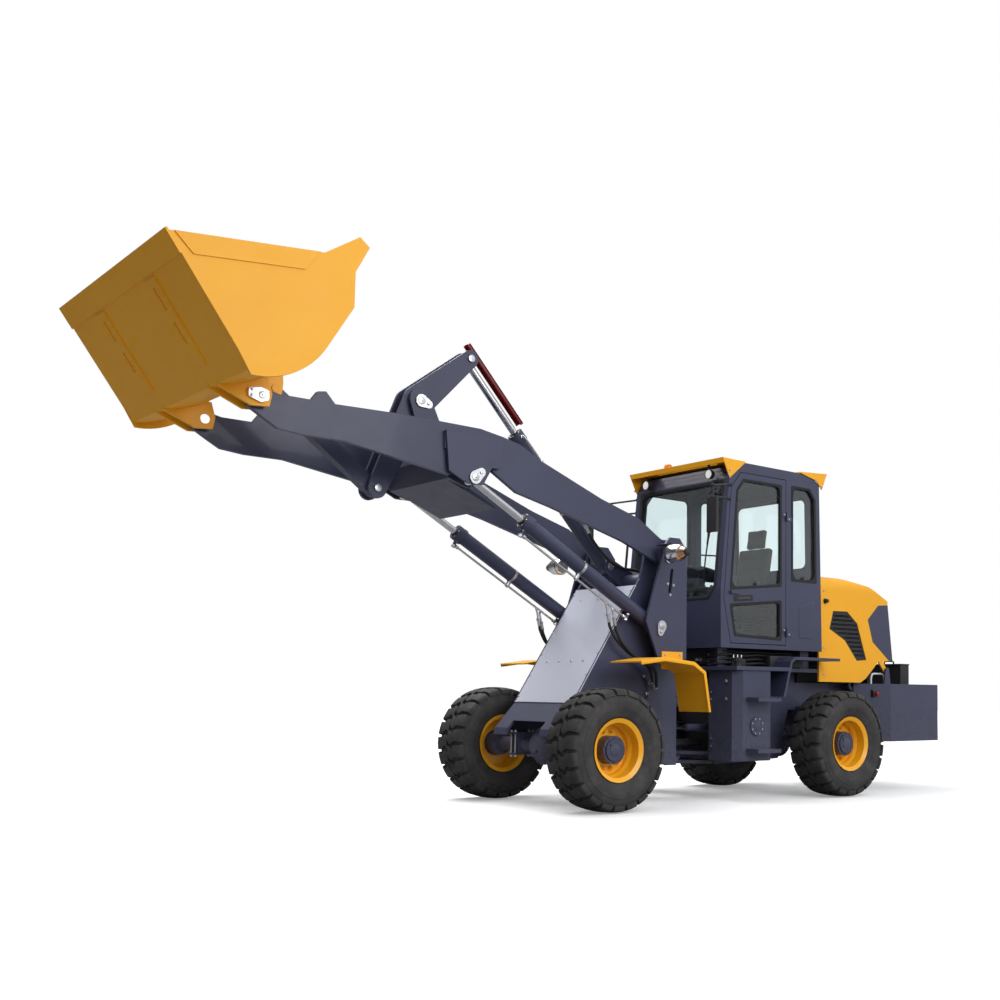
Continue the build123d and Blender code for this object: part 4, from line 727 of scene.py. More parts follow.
def make_head_lamps():
    bowl, cone, black = lamps = new_forms(3)
    for sign in BOTH:
        middle, out = at(690, sign * 735, 2119), (0, sign, 0)
        add_spin(bowl, ((0.004, 0), (0.003, 0.030), (0, 0.060), (0.012, 0.070), (0.030, 0.078),
                        (0.080, 0.0765), (0.130, 0.070), (0.152, 0.0615)), middle, out, UP, 48)
        add_spin(cone, ((0.152, 0.0615), (0.154, 0.059), (0.180, 0.048), (0.205, 0.036), (0.213, 0.032)),
                 middle, out, UP, 40)
        add_spin(black, ((0.212, 0.034), (0.216, 0.035), (0.232, 0.026), (0.235, 0.020), (0.235, 0)),
                 middle, out, UP, 32)
        add_spin(black, ((0.026, 0.0755), (0.028, 0.0795), (0.034, 0.0795), (0.036, 0.0765)),
                 middle, out, UP, 48)
        for (x, y, z), (far_x, far_y, far_z) in HEAD_LAMP_BRACKET:
            add_box(black, at(x, sign * y, z), at(far_x, sign * far_y, far_z), 0.001)
        bolt_side(black, sign, 593, 0.006, (500, 2211), (570, 2211))
    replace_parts(new_piece("head_lamp_set", lamps, "front", [reflector, lamp_cone, black_plastic]),
                "head_lamps")


make_cab_lamps()
make_head_lamps()
print("lamp sets", 2)

# %% [markdown]
# ## Mirrors
# A mirror is a moulded shell with a slightly crowned glass let into its rear face. Two clamps hold its
# post to the bars.

# %% Mirror glass and clamps
mirror_glass = plated("mirror_glass", (0.82, 0.84, 0.85), 0.03, 0.01)
MIRROR_ROWS = ((-4, 0.2), (-3, 2.0), (0, 2.4), (1, 0.8), (14, 1.4), (30, 1.8), (55, 2.0))    # inset, height
RIM_ROWS = 4


def make_mirror(face, sign):
    low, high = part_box("mirrors")
    middle_y = sign * (high.y - 0.065)
    bottom, top = low.z * 1000 + 10, high.z * 1000 - 10
    outline = ((-56, bottom), (56, bottom), (56, top), (-56, top))
    rows = [(rounded_loop(outline, inset, 22), height) for inset, height in MIRROR_ROWS]

    def behind(u, v, height):
        return Vector((low.x - height / 1000, middle_y + u / 1000, v / 1000))

    shell, pane = forms = new_forms(2)
    add_band(shell, rows[:RIM_ROWS], behind)
    add_band(pane, rows[RIM_ROWS - 1:], behind, close=True)
    for z in (2635, 2735):
        add_box(shell, at(284, sign * 838, z - 14), at(316, sign * 872, z + 14), 0.004)
        bolt_side(shell, sign, 872, 0.006, (300, z))
    new_piece("mirror_face_" + face, forms, "rear", [black_plastic, mirror_glass])


for face, sign in SIDES:
    make_mirror(face, sign)
print("mirrors", len(SIDES))

# %% [markdown]
# ## Wheels
# The planetary hub ends in a round cover with a ring of bolts and a plug in its middle. Behind it a
# ring of wheel nuts on studs holds the rim's disc, and a valve stem stands in the rim.

# %% Hub bolts, wheel nuts and valves
# stud, nut and washer: radius, height, sides, rounded edge
NUT_PARTS = ((0.0075, 0.034, 12, 0.0), (0.0155, 0.018, 6, 0.002), (0.0195, 0.004, 20, 0.0))


def make_hub(corner):
    axle = wheel_centre(corner)
    out = 1 if axle.y > 0 else -1
    outward = (0, out, 0)

    def spot(radius, angle, reach):
        return axle + Vector((radius * math.sin(angle), out * reach, radius * math.cos(angle)))

    cover, nuts, valve = forms = new_forms(3)
    for dx, dz in around(10, 0.1005, 0.0):
        add_bolt(cover, axle + Vector((dx, out * 0.096, dz)), outward, 0.0075)
    for dx, dz in around(12, 0.150):
        for radius, height, sides, edge in NUT_PARTS:
            add_disc(nuts, axle + Vector((dx, 0, dz)), outward, radius, height, sides, edge)
    add_disc(cover, spot(0, 0, 0.110), outward, 0.050, 0.003, 40, 0.0012)
    add_disc(cover, spot(0.060, 0.7, 0.110), outward, 0.013, 0.007, 6, 0.001)
    add_spin(cover, ((0.096, 0.1118), (0.098, 0.1100), (0.098, 0.0905), (0.096, 0.0895)),
             axle, outward, UP, 48)
    stem = [spot(radius, 2.4, reach) for radius, reach in ((0.206, 0.062), (0.206, 0.080), (0.200, 0.100))]
    add_tube(valve, smooth_line(stem, 4), 0.004, 8)
    new_piece("hub_fittings_" + corner, forms, "wheel_" + corner, [slate_paint, yellow_paint, black_plastic])


for corner in CORNERS:
    make_hub(corner)
print("hubs dressed", len(CORNERS))

# %% [markdown]
# ## Work along a sloping cylinder
# A cylinder's fittings are easiest to shape lying flat: x along the rod from the base pin, y across the
# machine, z square to the rod. One matrix then turns the finished forms onto the sloping line. First
# comes the level indicator: a red channel above the tilt rod slides past a mark on the barrel, and tells
# the driver when the bucket lies level. It is folded sheet, a flat top with two narrow flanges, on a
# post bolted to the eye.

# %% Red level bar
ARM_Y = 487.5
ARM_PIVOT, LIFT_BASE, LIFT_EYE = (553, 2145), (640, 1515), (2530, 2570)
TILT_BASE, ROCKER_TOP, ROCKER_PIVOT, ROCKER_FOOT = (800, 2050), (2280, 3630), (2760, 3200), (3100, 2480)
BUCKET_PIN = (4260, 2915)
level_red = moulded("level_red", (0.150, 0.004, 0.006), 0.40, 300.0, 0.05)


def line_between(start, end):
    """Vector between two side-view places, both (x, z)."""
    return at(end[0], 0, end[1]) - at(start[0], 0, start[1])


def onto_line(forms, start, end, y=0):
    """Turns forms made along x onto the line from start to end."""
    along = line_between(start, end).normalized()
    turn = Matrix((along, Vector((0, 1, 0)), Vector((-along.z, 0, along.x)))).transposed().to_4x4()
    for form in forms:
        bmesh.ops.transform(form, matrix=Matrix.Translation(at(start[0], y, start[1])) @ turn,
                            verts=form.verts)


def make_level_bar():
    red, post, steel = bar = new_forms(3)
    eye = line_between(TILT_BASE, ROCKER_TOP).length
    tail, nose = eye - 0.702, eye + 0.092
    add_box(red, (tail, -0.034, 0.099), (nose, 0.034, 0.112), 0.002)
    for side in BOTH:
        add_box(red, (tail, side * 0.029, 0.080), (nose, side * 0.034, 0.110), 0.001)
    add_box(post, (eye - 0.034, -0.022, 0.046), (eye + 0.024, 0.022, 0.100), 0.003)
    for run in (eye - 0.022, eye + 0.012):
        add_bolt(steel, (run, 0, 0.112), UP, 0.006)
    onto_line(bar, TILT_BASE, ROCKER_TOP)
    return new_piece("level_bar", bar, "tilt_rod", [level_red, slate_paint, zinc])


print("made", make_level_bar().name)

# %% [markdown]
# ## Cylinder fittings
# The gland that closes a barrel is a screwed collar with a black wiper at its mouth, held by small
# bolts. A weld bead joins barrel and base eye. The lift cylinders carry a zinc-plated steel pipe to the
# rod end; it is held by a nut at each port and a clamp half way. A ring is a spin whose profile closes
# on itself, so it is a solid collar and not an open sleeve.

# %% Glands, welds and steel pipes
TILT_PIPE = ((1.395, 0.062, 0.0), (1.395, 0.085, 0.0), (1.375, 0.094, 0.002), (1.30, 0.094, 0.006),
             (1.0, 0.090, 0.012), (0.7, 0.090, 0.012), (0.47, 0.094, 0.012), (0.42, 0.094, 0.020))
CLAMP = ((0, 0.0595), (0, 0.0625), (1, 0.0625), (1, 0.0595))         # section round a barrel


def add_ring(target, profile, centre=(0, 0, 0), axis=AHEAD, start=UP, steps=32):
    """Closed collar: profile holds (along the axis, radius) round its section."""
    add_spin(target, list(profile) + [profile[0]], centre, axis, start, steps)


def add_clamp(target, run, width):
    add_ring(target, [(run + width * share, radius) for share, radius in CLAMP])


def cylinder_forms(gland):
    """Forms for collars, steel and wiper of a cylinder whose gland ends at gland metres."""
    collar, steel, wiper = forms = new_forms(3)
    add_ring(collar, ((gland - 0.088, 0.066), (gland - 0.086, 0.0705), (gland - 0.068, 0.0705),
                      (gland - 0.066, 0.066)))
    add_ring(collar, ((0.048, 0.056), (0.056, 0.064), (0.066, 0.0635), (0.074, 0.0585)))
    for across, up in around(6, 0.055):
        add_bolt(steel, (gland, across, up), AHEAD, 0.0055)
    add_ring(wiper, ((gland - 0.001, 0.0305), (gland - 0.001, 0.042), (gland + 0.005, 0.041),
                     (gland + 0.007, 0.034), (gland + 0.007, 0.0305)))
    return forms


def place_fittings(name, forms, body, start, end, y=0):
    onto_line(forms, start, end, y)
    new_piece(name, forms, body, [slate_paint, zinc, black_plastic])


def dress_lift_cylinder(face, sign):
    forms = cylinder_forms(1.600)
    steel = forms[1]
    add_tube(steel, [Vector((run, 0, -0.105)) for run in (0.291, 0.6, 1.0, 1.3, 1.564)], 0.0095, 16)
    for run, inward in ((0.300, 1), (1.555, -1)):
        add_disc(steel, (run, 0, -0.126), UP, 0.0190, 0.022, 6, 0.002)
        add_disc(steel, (run, 0, -0.070), UP, 0.0185, 0.012, 6, 0.002)
        add_disc(steel, (run + inward * 0.020, 0, -0.105), (inward, 0, 0), 0.0165, 0.026, 6, 0.002)
    add_clamp(steel, 0.905, 0.025)
    add_box(steel, (0.903, -0.016, -0.118), (0.932, 0.016, -0.058), 0.003)
    add_bolt(steel, (0.9175, 0, -0.118), (0, 0, -1), 0.006)
    place_fittings("lift_fittings_" + face, forms, f"lift_{face}_barrel", LIFT_BASE, LIFT_EYE, sign * ARM_Y)


def dress_tilt_cylinder():
    forms = cylinder_forms(1.440)
    steel = forms[1]
    add_tube(steel, smooth_line([Vector(place) for place in TILT_PIPE], 5), 0.008, 12)
    add_disc(steel, (1.395, 0.060, 0), (0, 1, 0), 0.019, 0.016, 6, 0.002)
    add_disc(steel, (0.445, 0.094, 0.014), (-1, 0, 0.1), 0.016, 0.034, 6, 0.002)
    for run in (0.62, 1.12):
        add_clamp(steel, run, 0.022)
        add_box(steel, (run, 0.055, -0.002), (run + 0.022, 0.102, 0.024), 0.003)
    place_fittings("tilt_fittings", forms, "tilt_barrel", TILT_BASE, ROCKER_TOP)


for face, sign in SIDES:
    dress_lift_cylinder(face, sign)
dress_tilt_cylinder()
print("cylinders dressed", 3)

# %% [markdown]
# ## Hoses across a joint
# A hydraulic hose has a crimped steel ferrule at each end, and in between it bows with its own
# stiffness.

# %% Hoses to the cylinders
hose_rubber = moulded("hose_rubber", (0.012, 0.012, 0.013), 0.55, 1200.0)
LIFT_TEES = ((1172, 1690, 487, 1600), (1122, 1663, 508, 1572))       # x, z and y of the tee, z of its end
LIFT_HOSE = ((-34, 0, -62), (-46, 0, -110), (-110, 4, -210), (-240, 8, -315), (-370, 10, -375),
             (-480, 4, -440))                # steps from the tee's end down to the frame
TILT_ENDS = ((1, (1086, 94, 2378), (1052, 100, 2318)), (-1, (905, -94, 2205), (872, -108, 2160)))


def add_ferrule(target, place, direction, radius=0.014, length=0.055):
    """Crimped end of a hose with its union nut, standing on place."""
    axis = Vector(direction).normalized()
    add_disc(target, place, axis, radius * 1.35, 0.018, 6, 0.002)
    add_disc(target, Vector(place) + axis * 0.018, axis, radius, length, 16, 0.002)


def hose(name, places, radius, body=None, between=None):
    """Bowed hose through places in millimetres; between holds the two bodies at its ends, which are not used:
    a hose given them stays fixed and rides on no body.
    """
    tube = bmesh.new()
    line = course(places, 8)
    add_tube(tube, line, radius, 14)
    bmesh.ops.recalc_face_normals(tube, faces=tube.faces)
    piece = new_object(name, tube)
    piece.data.materials.append(hose_rubber)
    piece.data.shade_smooth()
    if between:
        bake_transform(piece)
    else:
        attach(piece, body)
    print(name, round(sum((b - a).length for a, b in zip(line, line[1:])), 3), "m long")


def make_lift_hoses(face, sign):
    barrel = f"lift_{face}_barrel"
    unions, tees = new_forms(2)
    for number, (x, z, y, low) in enumerate(LIFT_TEES):
        low_end = 1035 - 45 * number
        add_tube(tees, course(((x + 10, sign * 487, z + 6), (x - 2, sign * y, z - 22),
                               (x - 12, sign * y, low + 36), (x - 18, sign * y, low))), 0.009, 12)
        add_ferrule(tees, at(x - 18, sign * y, low), (-0.25, 0, -1))
        places = [(x + dx, sign * (y + dy), low + dz) for dx, dy, dz in LIFT_HOSE]
        places += [(x - 535, sign * 470, low_end + 30), (x - 545, sign * 452, low_end)]
        hose(f"lift_hose_{face}_{number + 1}", places[::-1], 0.0125, between=("front", barrel))
        add_ferrule(unions, at(x - 545, sign * 415, low_end), (0, sign, 0), 0.014, 0.030)
    new_piece("lift_hose_tees_" + face, tees, barrel, zinc)
    new_piece("lift_hose_unions_" + face, unions, "front", zinc)


def make_tilt_hoses():
    ends, unions = new_forms(2)
    for number, (side, first, second) in enumerate(TILT_ENDS):
        add_ferrule(ends, at(*first), at(*second) - at(*first))
        y, z = side * 130, 2005 - 70 * number
        places = [second, (1000 - 130 * number, side * 128, 2220 - 130 * number),
                  (860 - 60 * number, side * 140, 2095 - 75 * number), (700, side * 140, 2035 - 25 * number),
                  (560, side * 135, 2030 - 12 * number), (405, y, z)]
        hose(f"tilt_hose_{number + 1}", places[::-1], 0.0145, between=("front", "tilt_barrel"))
        add_ferrule(unions, at(360, y, z - 4), (1, 0, 0.1), 0.016, 0.035)
    add_tube(ends, course(((935, -58, 2225), (927, -90, 2227), (905, -94, 2205))), 0.010, 12)
    add_box(unions, at(346, -391, 1885), at(364, 391, 2045), 0.003)
    new_piece("tilt_hose_ends", ends, "tilt_barrel", zinc)
    new_piece("tilt_hose_bulkhead", unions, "front", zinc)


for face, sign in SIDES:
    make_lift_hoses(face, sign)
make_tilt_hoses()

# %% Hoses across the articulation
BULKHEAD_X = -345
# each hose's y, z and radius, and the bow that all of them share: x, and steps in y and z
CROSSING = ((-150, 1085, 0.014), (-95, 1060, 0.014), (-30, 1092, 0.012), (40, 1065, 0.016),
            (110, 1088, 0.014))
CROSSING_BOW = ((225, 12, -10), (170, 10, -14), (60, 16, -30), (-60, -6, -34), (-170, -8, -12),
                (-230, 0, -2), (-270, 0, 0))


def make_crossing_hoses():
    rear_unions, plate, front_unions = new_forms(3)
    add_box(plate, at(BULKHEAD_X - 12, -296, 1000), at(BULKHEAD_X, 296, 1154), 0.002)
    for number, (y, z, radius) in enumerate(CROSSING):
        add_ferrule(rear_unions, at(BULKHEAD_X, y, z), AHEAD, radius + 0.002)
        add_ferrule(front_unions, at(300, y + 12, z - 10), (-1, 0, 0), radius + 0.002)
        hose(f"crossing_hose_{number + 1}", [(x, y + dy, z + dz) for x, dy, dz in CROSSING_BOW], radius,
             between=("front", "rear"))
    new_piece("crossing_bulkhead", [rear_unions, plate], "rear", [zinc, machine_grey])
    new_piece("crossing_unions", front_unions, "front", zinc)


make_crossing_hoses()

# %% [markdown]
# ## Brake lines
# A black brake line runs from each tower's foot down the frame to the axle, held by three clips.

# %% Brake lines
BRAKE_LINE = ((700, 424, 1090), (668, 440, 1010), (672, 440, 900), (760, 436, 800), (960, 428, 700),
              (1180, 400, 620), (1310, 372, 570))


def make_brake_line(face, sign):
    line, clips = forms = new_forms(2)
    add_tube(line, course([(x, sign * y, z) for x, y, z in BRAKE_LINE], 8), 0.0065, 10)
    for x, z in ((700, 1090), (668, 940), (860, 742)):
        add_box(clips, at(x - 14, sign * 415, z - 12), at(x + 14, sign * 446, z + 12), 0.002)
    new_piece("brake_line_" + face, forms, "front", [hose_rubber, zinc])


for face, sign in SIDES:
    make_brake_line(face, sign)
print("brake lines", len(SIDES))

# %% [markdown]
# ## Pins, lock plates and bolts
# Each big pin ends in a greased face with a nipple, and a bolted teardrop plate keeps it from turning.
# On the bucket the plates are bare zinc, which catches the light against the yellow.

# %% Pin faces and lock bolts
LOCK_BOLT = 0.011
LOCK_PLATE = ((-50, -32), (10, -52), (100, -22), (100, 38), (10, 54), (-50, 36))     # from its pin


def add_pin_face(target, centre, outward, radius=0.030):
    """Chamfered pin end with a grease nipple."""
    axis = Vector(outward).normalized()
    add_disc(target, centre, axis, radius, 0.005, 32, 0.0015)
    add_disc(target, Vector(centre) + axis * 0.005, axis, 0.0055, 0.009, 12, 0.0015)


def place_pins(name, body, *pins):
    """Faces on both sides; a pin has its (x, z), the y of its face, and its bolt's step if it has one."""
    steel = bmesh.new()
    for (x, z), y, *bolts in pins:
        for sign in BOTH:
            add_pin_face(steel, at(x, sign * y, z), (0, sign, 0))
            bolt_side(steel, sign, y, LOCK_BOLT, *[(x + dx, z + dz) for dx, dz in bolts])
    new_piece(name, steel, body, zinc)


def make_bucket_locks():
    locks = bmesh.new()
    x, z = BUCKET_PIN
    for sign in BOTH:
        add_pressing(locks, [(x + dx, z + dz) for dx, dz in LOCK_PLATE], on_side(sign, 582), 4.0, 2.5, 16)
        add_pin_face(locks, at(x, sign * 586, z), (0, sign, 0), 0.026)
        bolt_side(locks, sign, 586, LOCK_BOLT, (x + 72, z + 30), (x + 72, z - 12))
    new_piece("bucket_lock_plates", locks, "bucket", zinc)


place_pins("tower_pin_faces", "front", (ARM_PIVOT, 599, (13, -50)), (LIFT_BASE, 599, (13, -50)),
           (TILT_BASE, 99))
place_pins("arm_pin_faces", "arms", (LIFT_EYE, 561.5, (-50, 41)), (ROCKER_PIVOT, 134, (-60, -18)))
place_pins("rocker_pin_faces", "rocker", (ROCKER_TOP, 90), (ROCKER_FOOT, 90))
make_bucket_locks()
print("pin sets", 4)

# %% Bolts on the towers and the cover
COVER_FOOT, COVER_TOP = (1447, 859), (787, 1868)


def on_cover(u, v, height):
    """Places on the sloping front cover: u across, v up the slope from its foot, height off it."""
    up = line_between(COVER_FOOT, COVER_TOP).normalized()
    return at(COVER_FOOT[0] + up.x * v + up.z * height, u, COVER_FOOT[1] + up.z * v - up.x * height)


def make_tower_bolts():
    bolts = bmesh.new()
    for sign in BOTH:
        bolt_side(bolts, sign, 585, 0.010, (569, 1880), (504, 1872), (541, 1786))
        bolt_side(bolts, sign, 597, 0.009, (430, 1180), (600, 1180), (430, 1272), (600, 1272))
    new_piece("tower_bolts", bolts, "front", zinc)


def make_cover_screws():
    screws, strips = new_forms(2)
    outward = on_cover(0, 0, 10) - on_cover(0, 0, 0)
    places = [(side * 395, v) for side in BOTH for v in (60, 280, 500, 720, 940, 1150)]
    places += [(u, 420) for u in (-250, -85, 85, 250)] + [(u, 1080) for u in (-250, 0, 250)]
    for u, v in places:
        add_disc(screws, on_cover(u, v, 0), outward, 0.013, 0.002, 20)
        add_disc(screws, on_cover(u, v, 2), outward, 0.0085, 0.0055, 6, 0.001)
    new_piece("cover_screws", screws, "front", zinc)
    for side in BOTH:
        for vert in bmesh.ops.create_cube(strips, size=1.0)["verts"]:
            vert.co = on_cover(side * 408.5 + 9 * vert.co.y, 603 + 1186 * vert.co.x, 0.5 + 7 * vert.co.z)
    new_piece("cover_edge_strips", strips, "front", slate_paint)
    return len(places)


make_tower_bolts()
print("cover screws", make_cover_screws())

# %% [markdown]
# ## Fender lips
# A fender of flat sheet would ring and crack, so its outer edge is turned down. The lip follows the
# fender's line: its outline is drawn as one face, extruded to the sheet's thickness, and rounded.

# %% Fender lips
FENDER_EDGE = ((1210, 1200), (952, 1236), (620, 1206), (490, 1126), (428, 790))
FENDER_TURN = ((455, 790), (516, 1108), (632, 1175), (950, 1204), (1204, 1170))


def make_fender_lip(face, sign):
    lip = bmesh.new()
    outline = lip.faces.new([lip.verts.new(at(x, sign * 983, z)) for x, z in FENDER_EDGE + FENDER_TURN])
    grown = bmesh.ops.extrude_face_region(lip, geom=[outline])["geom"]
    inner = [item for item in grown if isinstance(item, bmesh.types.BMVert)]
    bmesh.ops.translate(lip, vec=(0, -sign * 0.010, 0), verts=inner)
    bmesh.ops.recalc_face_normals(lip, faces=lip.faces)
    round_off(lip, list(lip.edges), 0.003)
    new_piece("fender_lip_" + face, lip, "front", yellow_paint)


for face, sign in SIDES:
    make_fender_lip(face, sign)
print("fender lips", len(SIDES))

# %% [markdown]
# ## Axle clamps
# A loader's axle hangs under its frame on long studs: four to a pad, through a flange above and a
# clamp plate below, with a nut and a washer at each end. The differential's cover has its own ring.

# %% Studs, clamp plates and the differential's ring
AXLE_Z = 492.5
# stud, two nuts and a washer: z, radius, height, sides, rounded edge
STUD_PARTS = ((384, 0.010, 0.236, 16, 0.002), (390, 0.0175, 0.014, 6, 0.002), (598, 0.0175, 0.014, 6, 0.002),
              (402, 0.0215, 0.0025, 20, 0.0))


def dress_axle(name, station, body, outward):
    steel, painted = new_forms(2)
    out, axle = (outward, 0, 0), at(station, 0, AXLE_Z)
    for sign in BOTH:
        add_box(painted, at(station - 112, sign * 306, 404), at(station + 112, sign * 409, 421.5), 0.003)
        add_box(painted, at(station - 120, sign * 296, 582.5), at(station + 120, sign * 455, 598), 0.003)
        for x in (station - 92, station + 92):
            for y in (sign * 328, sign * 387):
                for z, radius, height, sides, edge in STUD_PARTS:
                    add_disc(steel, at(x, y, z), UP, radius, height, sides, edge)
        for across, up in around(8, 0.088):
            add_bolt(painted, axle + Vector((across, sign * 0.662, up)), (0, -sign, 0), 0.0075)
    add_ring(painted, ((0.026, 0.140), (0.026, 0.160), (0.044, 0.160), (0.046, 0.158), (0.046, 0.138)),
             axle, out, UP, 48)
    for across, up in around(12, 0.150):
        add_bolt(painted, axle + Vector((outward * 0.046, across, up)), out, 0.0065)
    add_disc(painted, axle + Vector((outward * 0.138, 0.03, -0.04)), (outward, 0.2, -0.25), 0.019, 0.018,
             6, 0.003)
    new_piece(name + "_studs", steel, body, zinc)
    new_piece(name + "_clamps", painted, body, axle_paint)


dress_axle("front_axle", 1400, "front", 1)
dress_axle("rear_axle", -1420, "rear", -1)
print("axles dressed", 2)

# %% [markdown]
# ## Tanks and steps
# The tanks are welded boxes with a bolted cleaning cover and a black filler cap. A step needs grip, so
# thin bars are welded across its tread.

# %% Tank covers, bolts and treads
TANK_Y = 792                                 # outer wall of the tanks
TANK_COVER = (-330, 660)
FILLER = (-180, 690)


def dress_tank(face, sign):
    bolts, caps, filler = new_forms(3)
    cover_x, cover_z = TANK_COVER
    bolt_side(bolts, sign, TANK_Y, 0.0065, *[(cover_x + dx, cover_z + dz) for dx, dz in around(8, 69)])
    for y, size, heights in ((638, 0.015, (1058, 899)), (450, 0.009, (959, 897, 549, 479))):
        for z in heights:
            add_bolt(bolts, at(-90, sign * y, z), AHEAD, size)
    new_piece("tank_bolts_" + face, bolts, "rear", zinc)
    add_disc(caps, at(cover_x, sign * TANK_Y, cover_z), (0, sign, 0), 0.040, 0.003, 32, 0.001)
    for z in (445, 895):
        for y in (806, 846, 886):
            add_box(caps, at(-470, sign * y - 7, z + 14), at(-215, sign * y + 7, z + 19), 0.001)
        for x in (-478, -212):
            add_box(caps, at(x - 4, sign * 782, z + 14), at(x + 4, sign * 926, z + 21), 0.001)
    for x in (-505, -95):
        add_box(caps, at(x - 3, sign * 600 - 165, 1140), at(x + 3, sign * 600 + 165, 1152), 0.001)
    new_piece("tank_trim_" + face, caps, "rear", slate_paint)
    x, y = FILLER[0], sign * FILLER[1]
    add_spin(filler, ((0, 0.034), (0.038, 0.034), (0.040, 0.042), (0.074, 0.042), (0.080, 0.036), (0.080, 0)),
             at(x, y, 1190), UP, AHEAD, 32)
    for dy, dx in around(12, 41, 0.0):
        add_disc(filler, at(x + dx, y + dy, 1232), UP, 0.005, 0.034, 8)
    new_piece("filler_cap_" + face, filler, "rear", black_plastic)


for face, sign in SIDES:
    dress_tank(face, sign)
print("tanks dressed", len(SIDES))

# %% [markdown]
# ## Under the cab
# Between the deck and the cab's floor lies the machine's plumbing: a floor pan, the brake valve with
# its block, hose bundles and their silver unions. It is dark there, so shapes matter more than colour.

# %% Floor pan, valve block and hose bundles
DECK_HOSE = ((-96, -60, -22), (-130, 60, -6), (-260, 84, 4), (-430, 70, -8), (-620, 80, 2), (-820, 60, -6),
             (-1050, 68, 0), (-1180, 20, -10), (-1300, -60, -14))
DECK_HOSES = ((410, 1330), (440, 1300), (425, 1262), (452, 1225))    # y, z


def make_under_cab():
    pan, unions, block = new_forms(3)
    add_box(pan, at(-1330, -365, 1205), at(-110, 365, 1352), 0.012)
    for x in range(-1250, -150, 150):
        add_box(pan, at(x, -371, 1215), at(x + 30, 371, 1345), 0.004)
    for sign in BOTH:
        add_box(pan, at(-1150, sign * 520, 1195), at(-700, sign * 600, 1300), 0.008)
        add_box(block, at(-420, sign * 500, 1192), at(-250, sign * 560, 1262), 0.004)
        for x in (-390, -340, -290):
            add_ferrule(unions, at(x, sign * 530, 1262), UP, 0.008, 0.020)
        for x in (-130, -105):
            add_ferrule(unions, at(x, sign * 300, 1250), AHEAD, 0.014, 0.045)
        for z in (1290, 1240):
            add_bolt(unions, at(-105, sign * 400, z), AHEAD, 0.012)
    new_piece("cab_floor_pan", pan, "rear", machine_grey)
    new_piece("brake_valves", [unions, block], "rear", [zinc, machine_grey])


make_under_cab()
for face, sign in SIDES:
    for number, (y, z) in enumerate(DECK_HOSES):
        hose(f"deck_hose_{face}_{number + 1}", [(x, sign * (y + dy), z + dz) for x, dy, dz in DECK_HOSE],
             0.0125, body="rear")

# %% [markdown]
# ## Seat
# The driver's seat has three cushions in dark vinyl. A cushion bulges because foam presses its cover
# outwards while the seams hold it in. So each one starts as a rounded block with an even net of faces,
# is blown up by cloth pressure, and then has its sewn channels pressed in. The frame under it is rigid.

# %% Stuffed cushions
SEAM_DEPTH, SEAM_WIDTH = 0.006, 0.007        # of a sewn channel
CUSHION_PRESSURE, CUSHION_FRAMES = 4.0, 20


def evaluated_mesh(block):
    """The mesh that the block's modifiers make; the modifiers are then taken off."""
    made = bpy.data.meshes.new_from_object(block.evaluated_get(bpy.context.evaluated_depsgraph_get()))
    block.modifiers.clear()
    return made


def even_block(size, voxel=0.009):
    """Rounded block, as an object with an even net of faces."""
    start = bmesh.new()
    bmesh.ops.create_cube(start, size=1.0, matrix=Matrix.Diagonal((*size, 1)))
    round_off(start, list(start.edges), min(size) * 0.3, 4)
    block = new_object("cushion_block", start)
    net = block.modifiers.new("net", "REMESH")
    net.mode, net.voxel_size = "VOXEL", voxel
    block.data = evaluated_mesh(block)
    return block


def blow_up(block, most):
    """Cloth pressure inside the block's skin; no point moves farther than most."""
    rest = [vert.co.copy() for vert in block.data.vertices]
    cloth = block.modifiers.new("cloth", "CLOTH").settings
    cloth.use_pressure = True
    cloth.uniform_pressure_force = CUSHION_PRESSURE
    cloth.effector_weights.gravity = 0.0
    for number in range(CUSHION_FRAMES):
        bpy.context.scene.frame_set(number + 1)
    swollen = evaluated_mesh(block)
    bpy.context.scene.frame_set(1)
    for vert, start in zip(swollen.vertices, rest):
        move = vert.co - start
        if move.length > most:
            vert.co = start + move * (most / move.length)
    block.data = swollen


def cushion(name, size, seams, place, most=0.009):
    """seams: (axis number, place along it, half length across); place turns the cushion onto the seat."""
    block = even_block(size)
    blow_up(block, most)
    mesh = block.data
    for vert in mesh.vertices:
        if vert.co.z > 0:
            for axis, along, half in seams:
                if abs(vert.co[1 - axis]) < half:
                    vert.co.z -= SEAM_DEPTH * math.exp(-((vert.co[axis] - along) / SEAM_WIDTH) ** 2)
    mesh.transform(place)
    block.name = mesh.name = name
    mesh.materials.clear()
    mesh.materials.append(seat_vinyl)
    mesh.shade_smooth()
    smooth = block.modifiers.new("smooth", "SUBSURF")
    smooth.levels = smooth.render_levels = 1
    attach(block, "rear")
    return block


def leaning(x, z, angle):
    """Stands a cushion, made flat with its top up, on edge: its top faces forward, leaning back."""
    return Matrix.Translation(at(x, 0, z)) @ Matrix.Rotation(math.radians(90 - angle), 4, "Y")


# %% Seat
BASE_SEAMS = ((0, 0.10, 0.15), (0, -0.06, 0.15), (1, 0.155, 0.20), (1, -0.155, 0.20))
BACK_SEAMS = ((0, 0.10, 0.14), (0, -0.02, 0.14), (0, -0.13, 0.14), (1, 0.145, 0.23), (1, -0.145, 0.23))


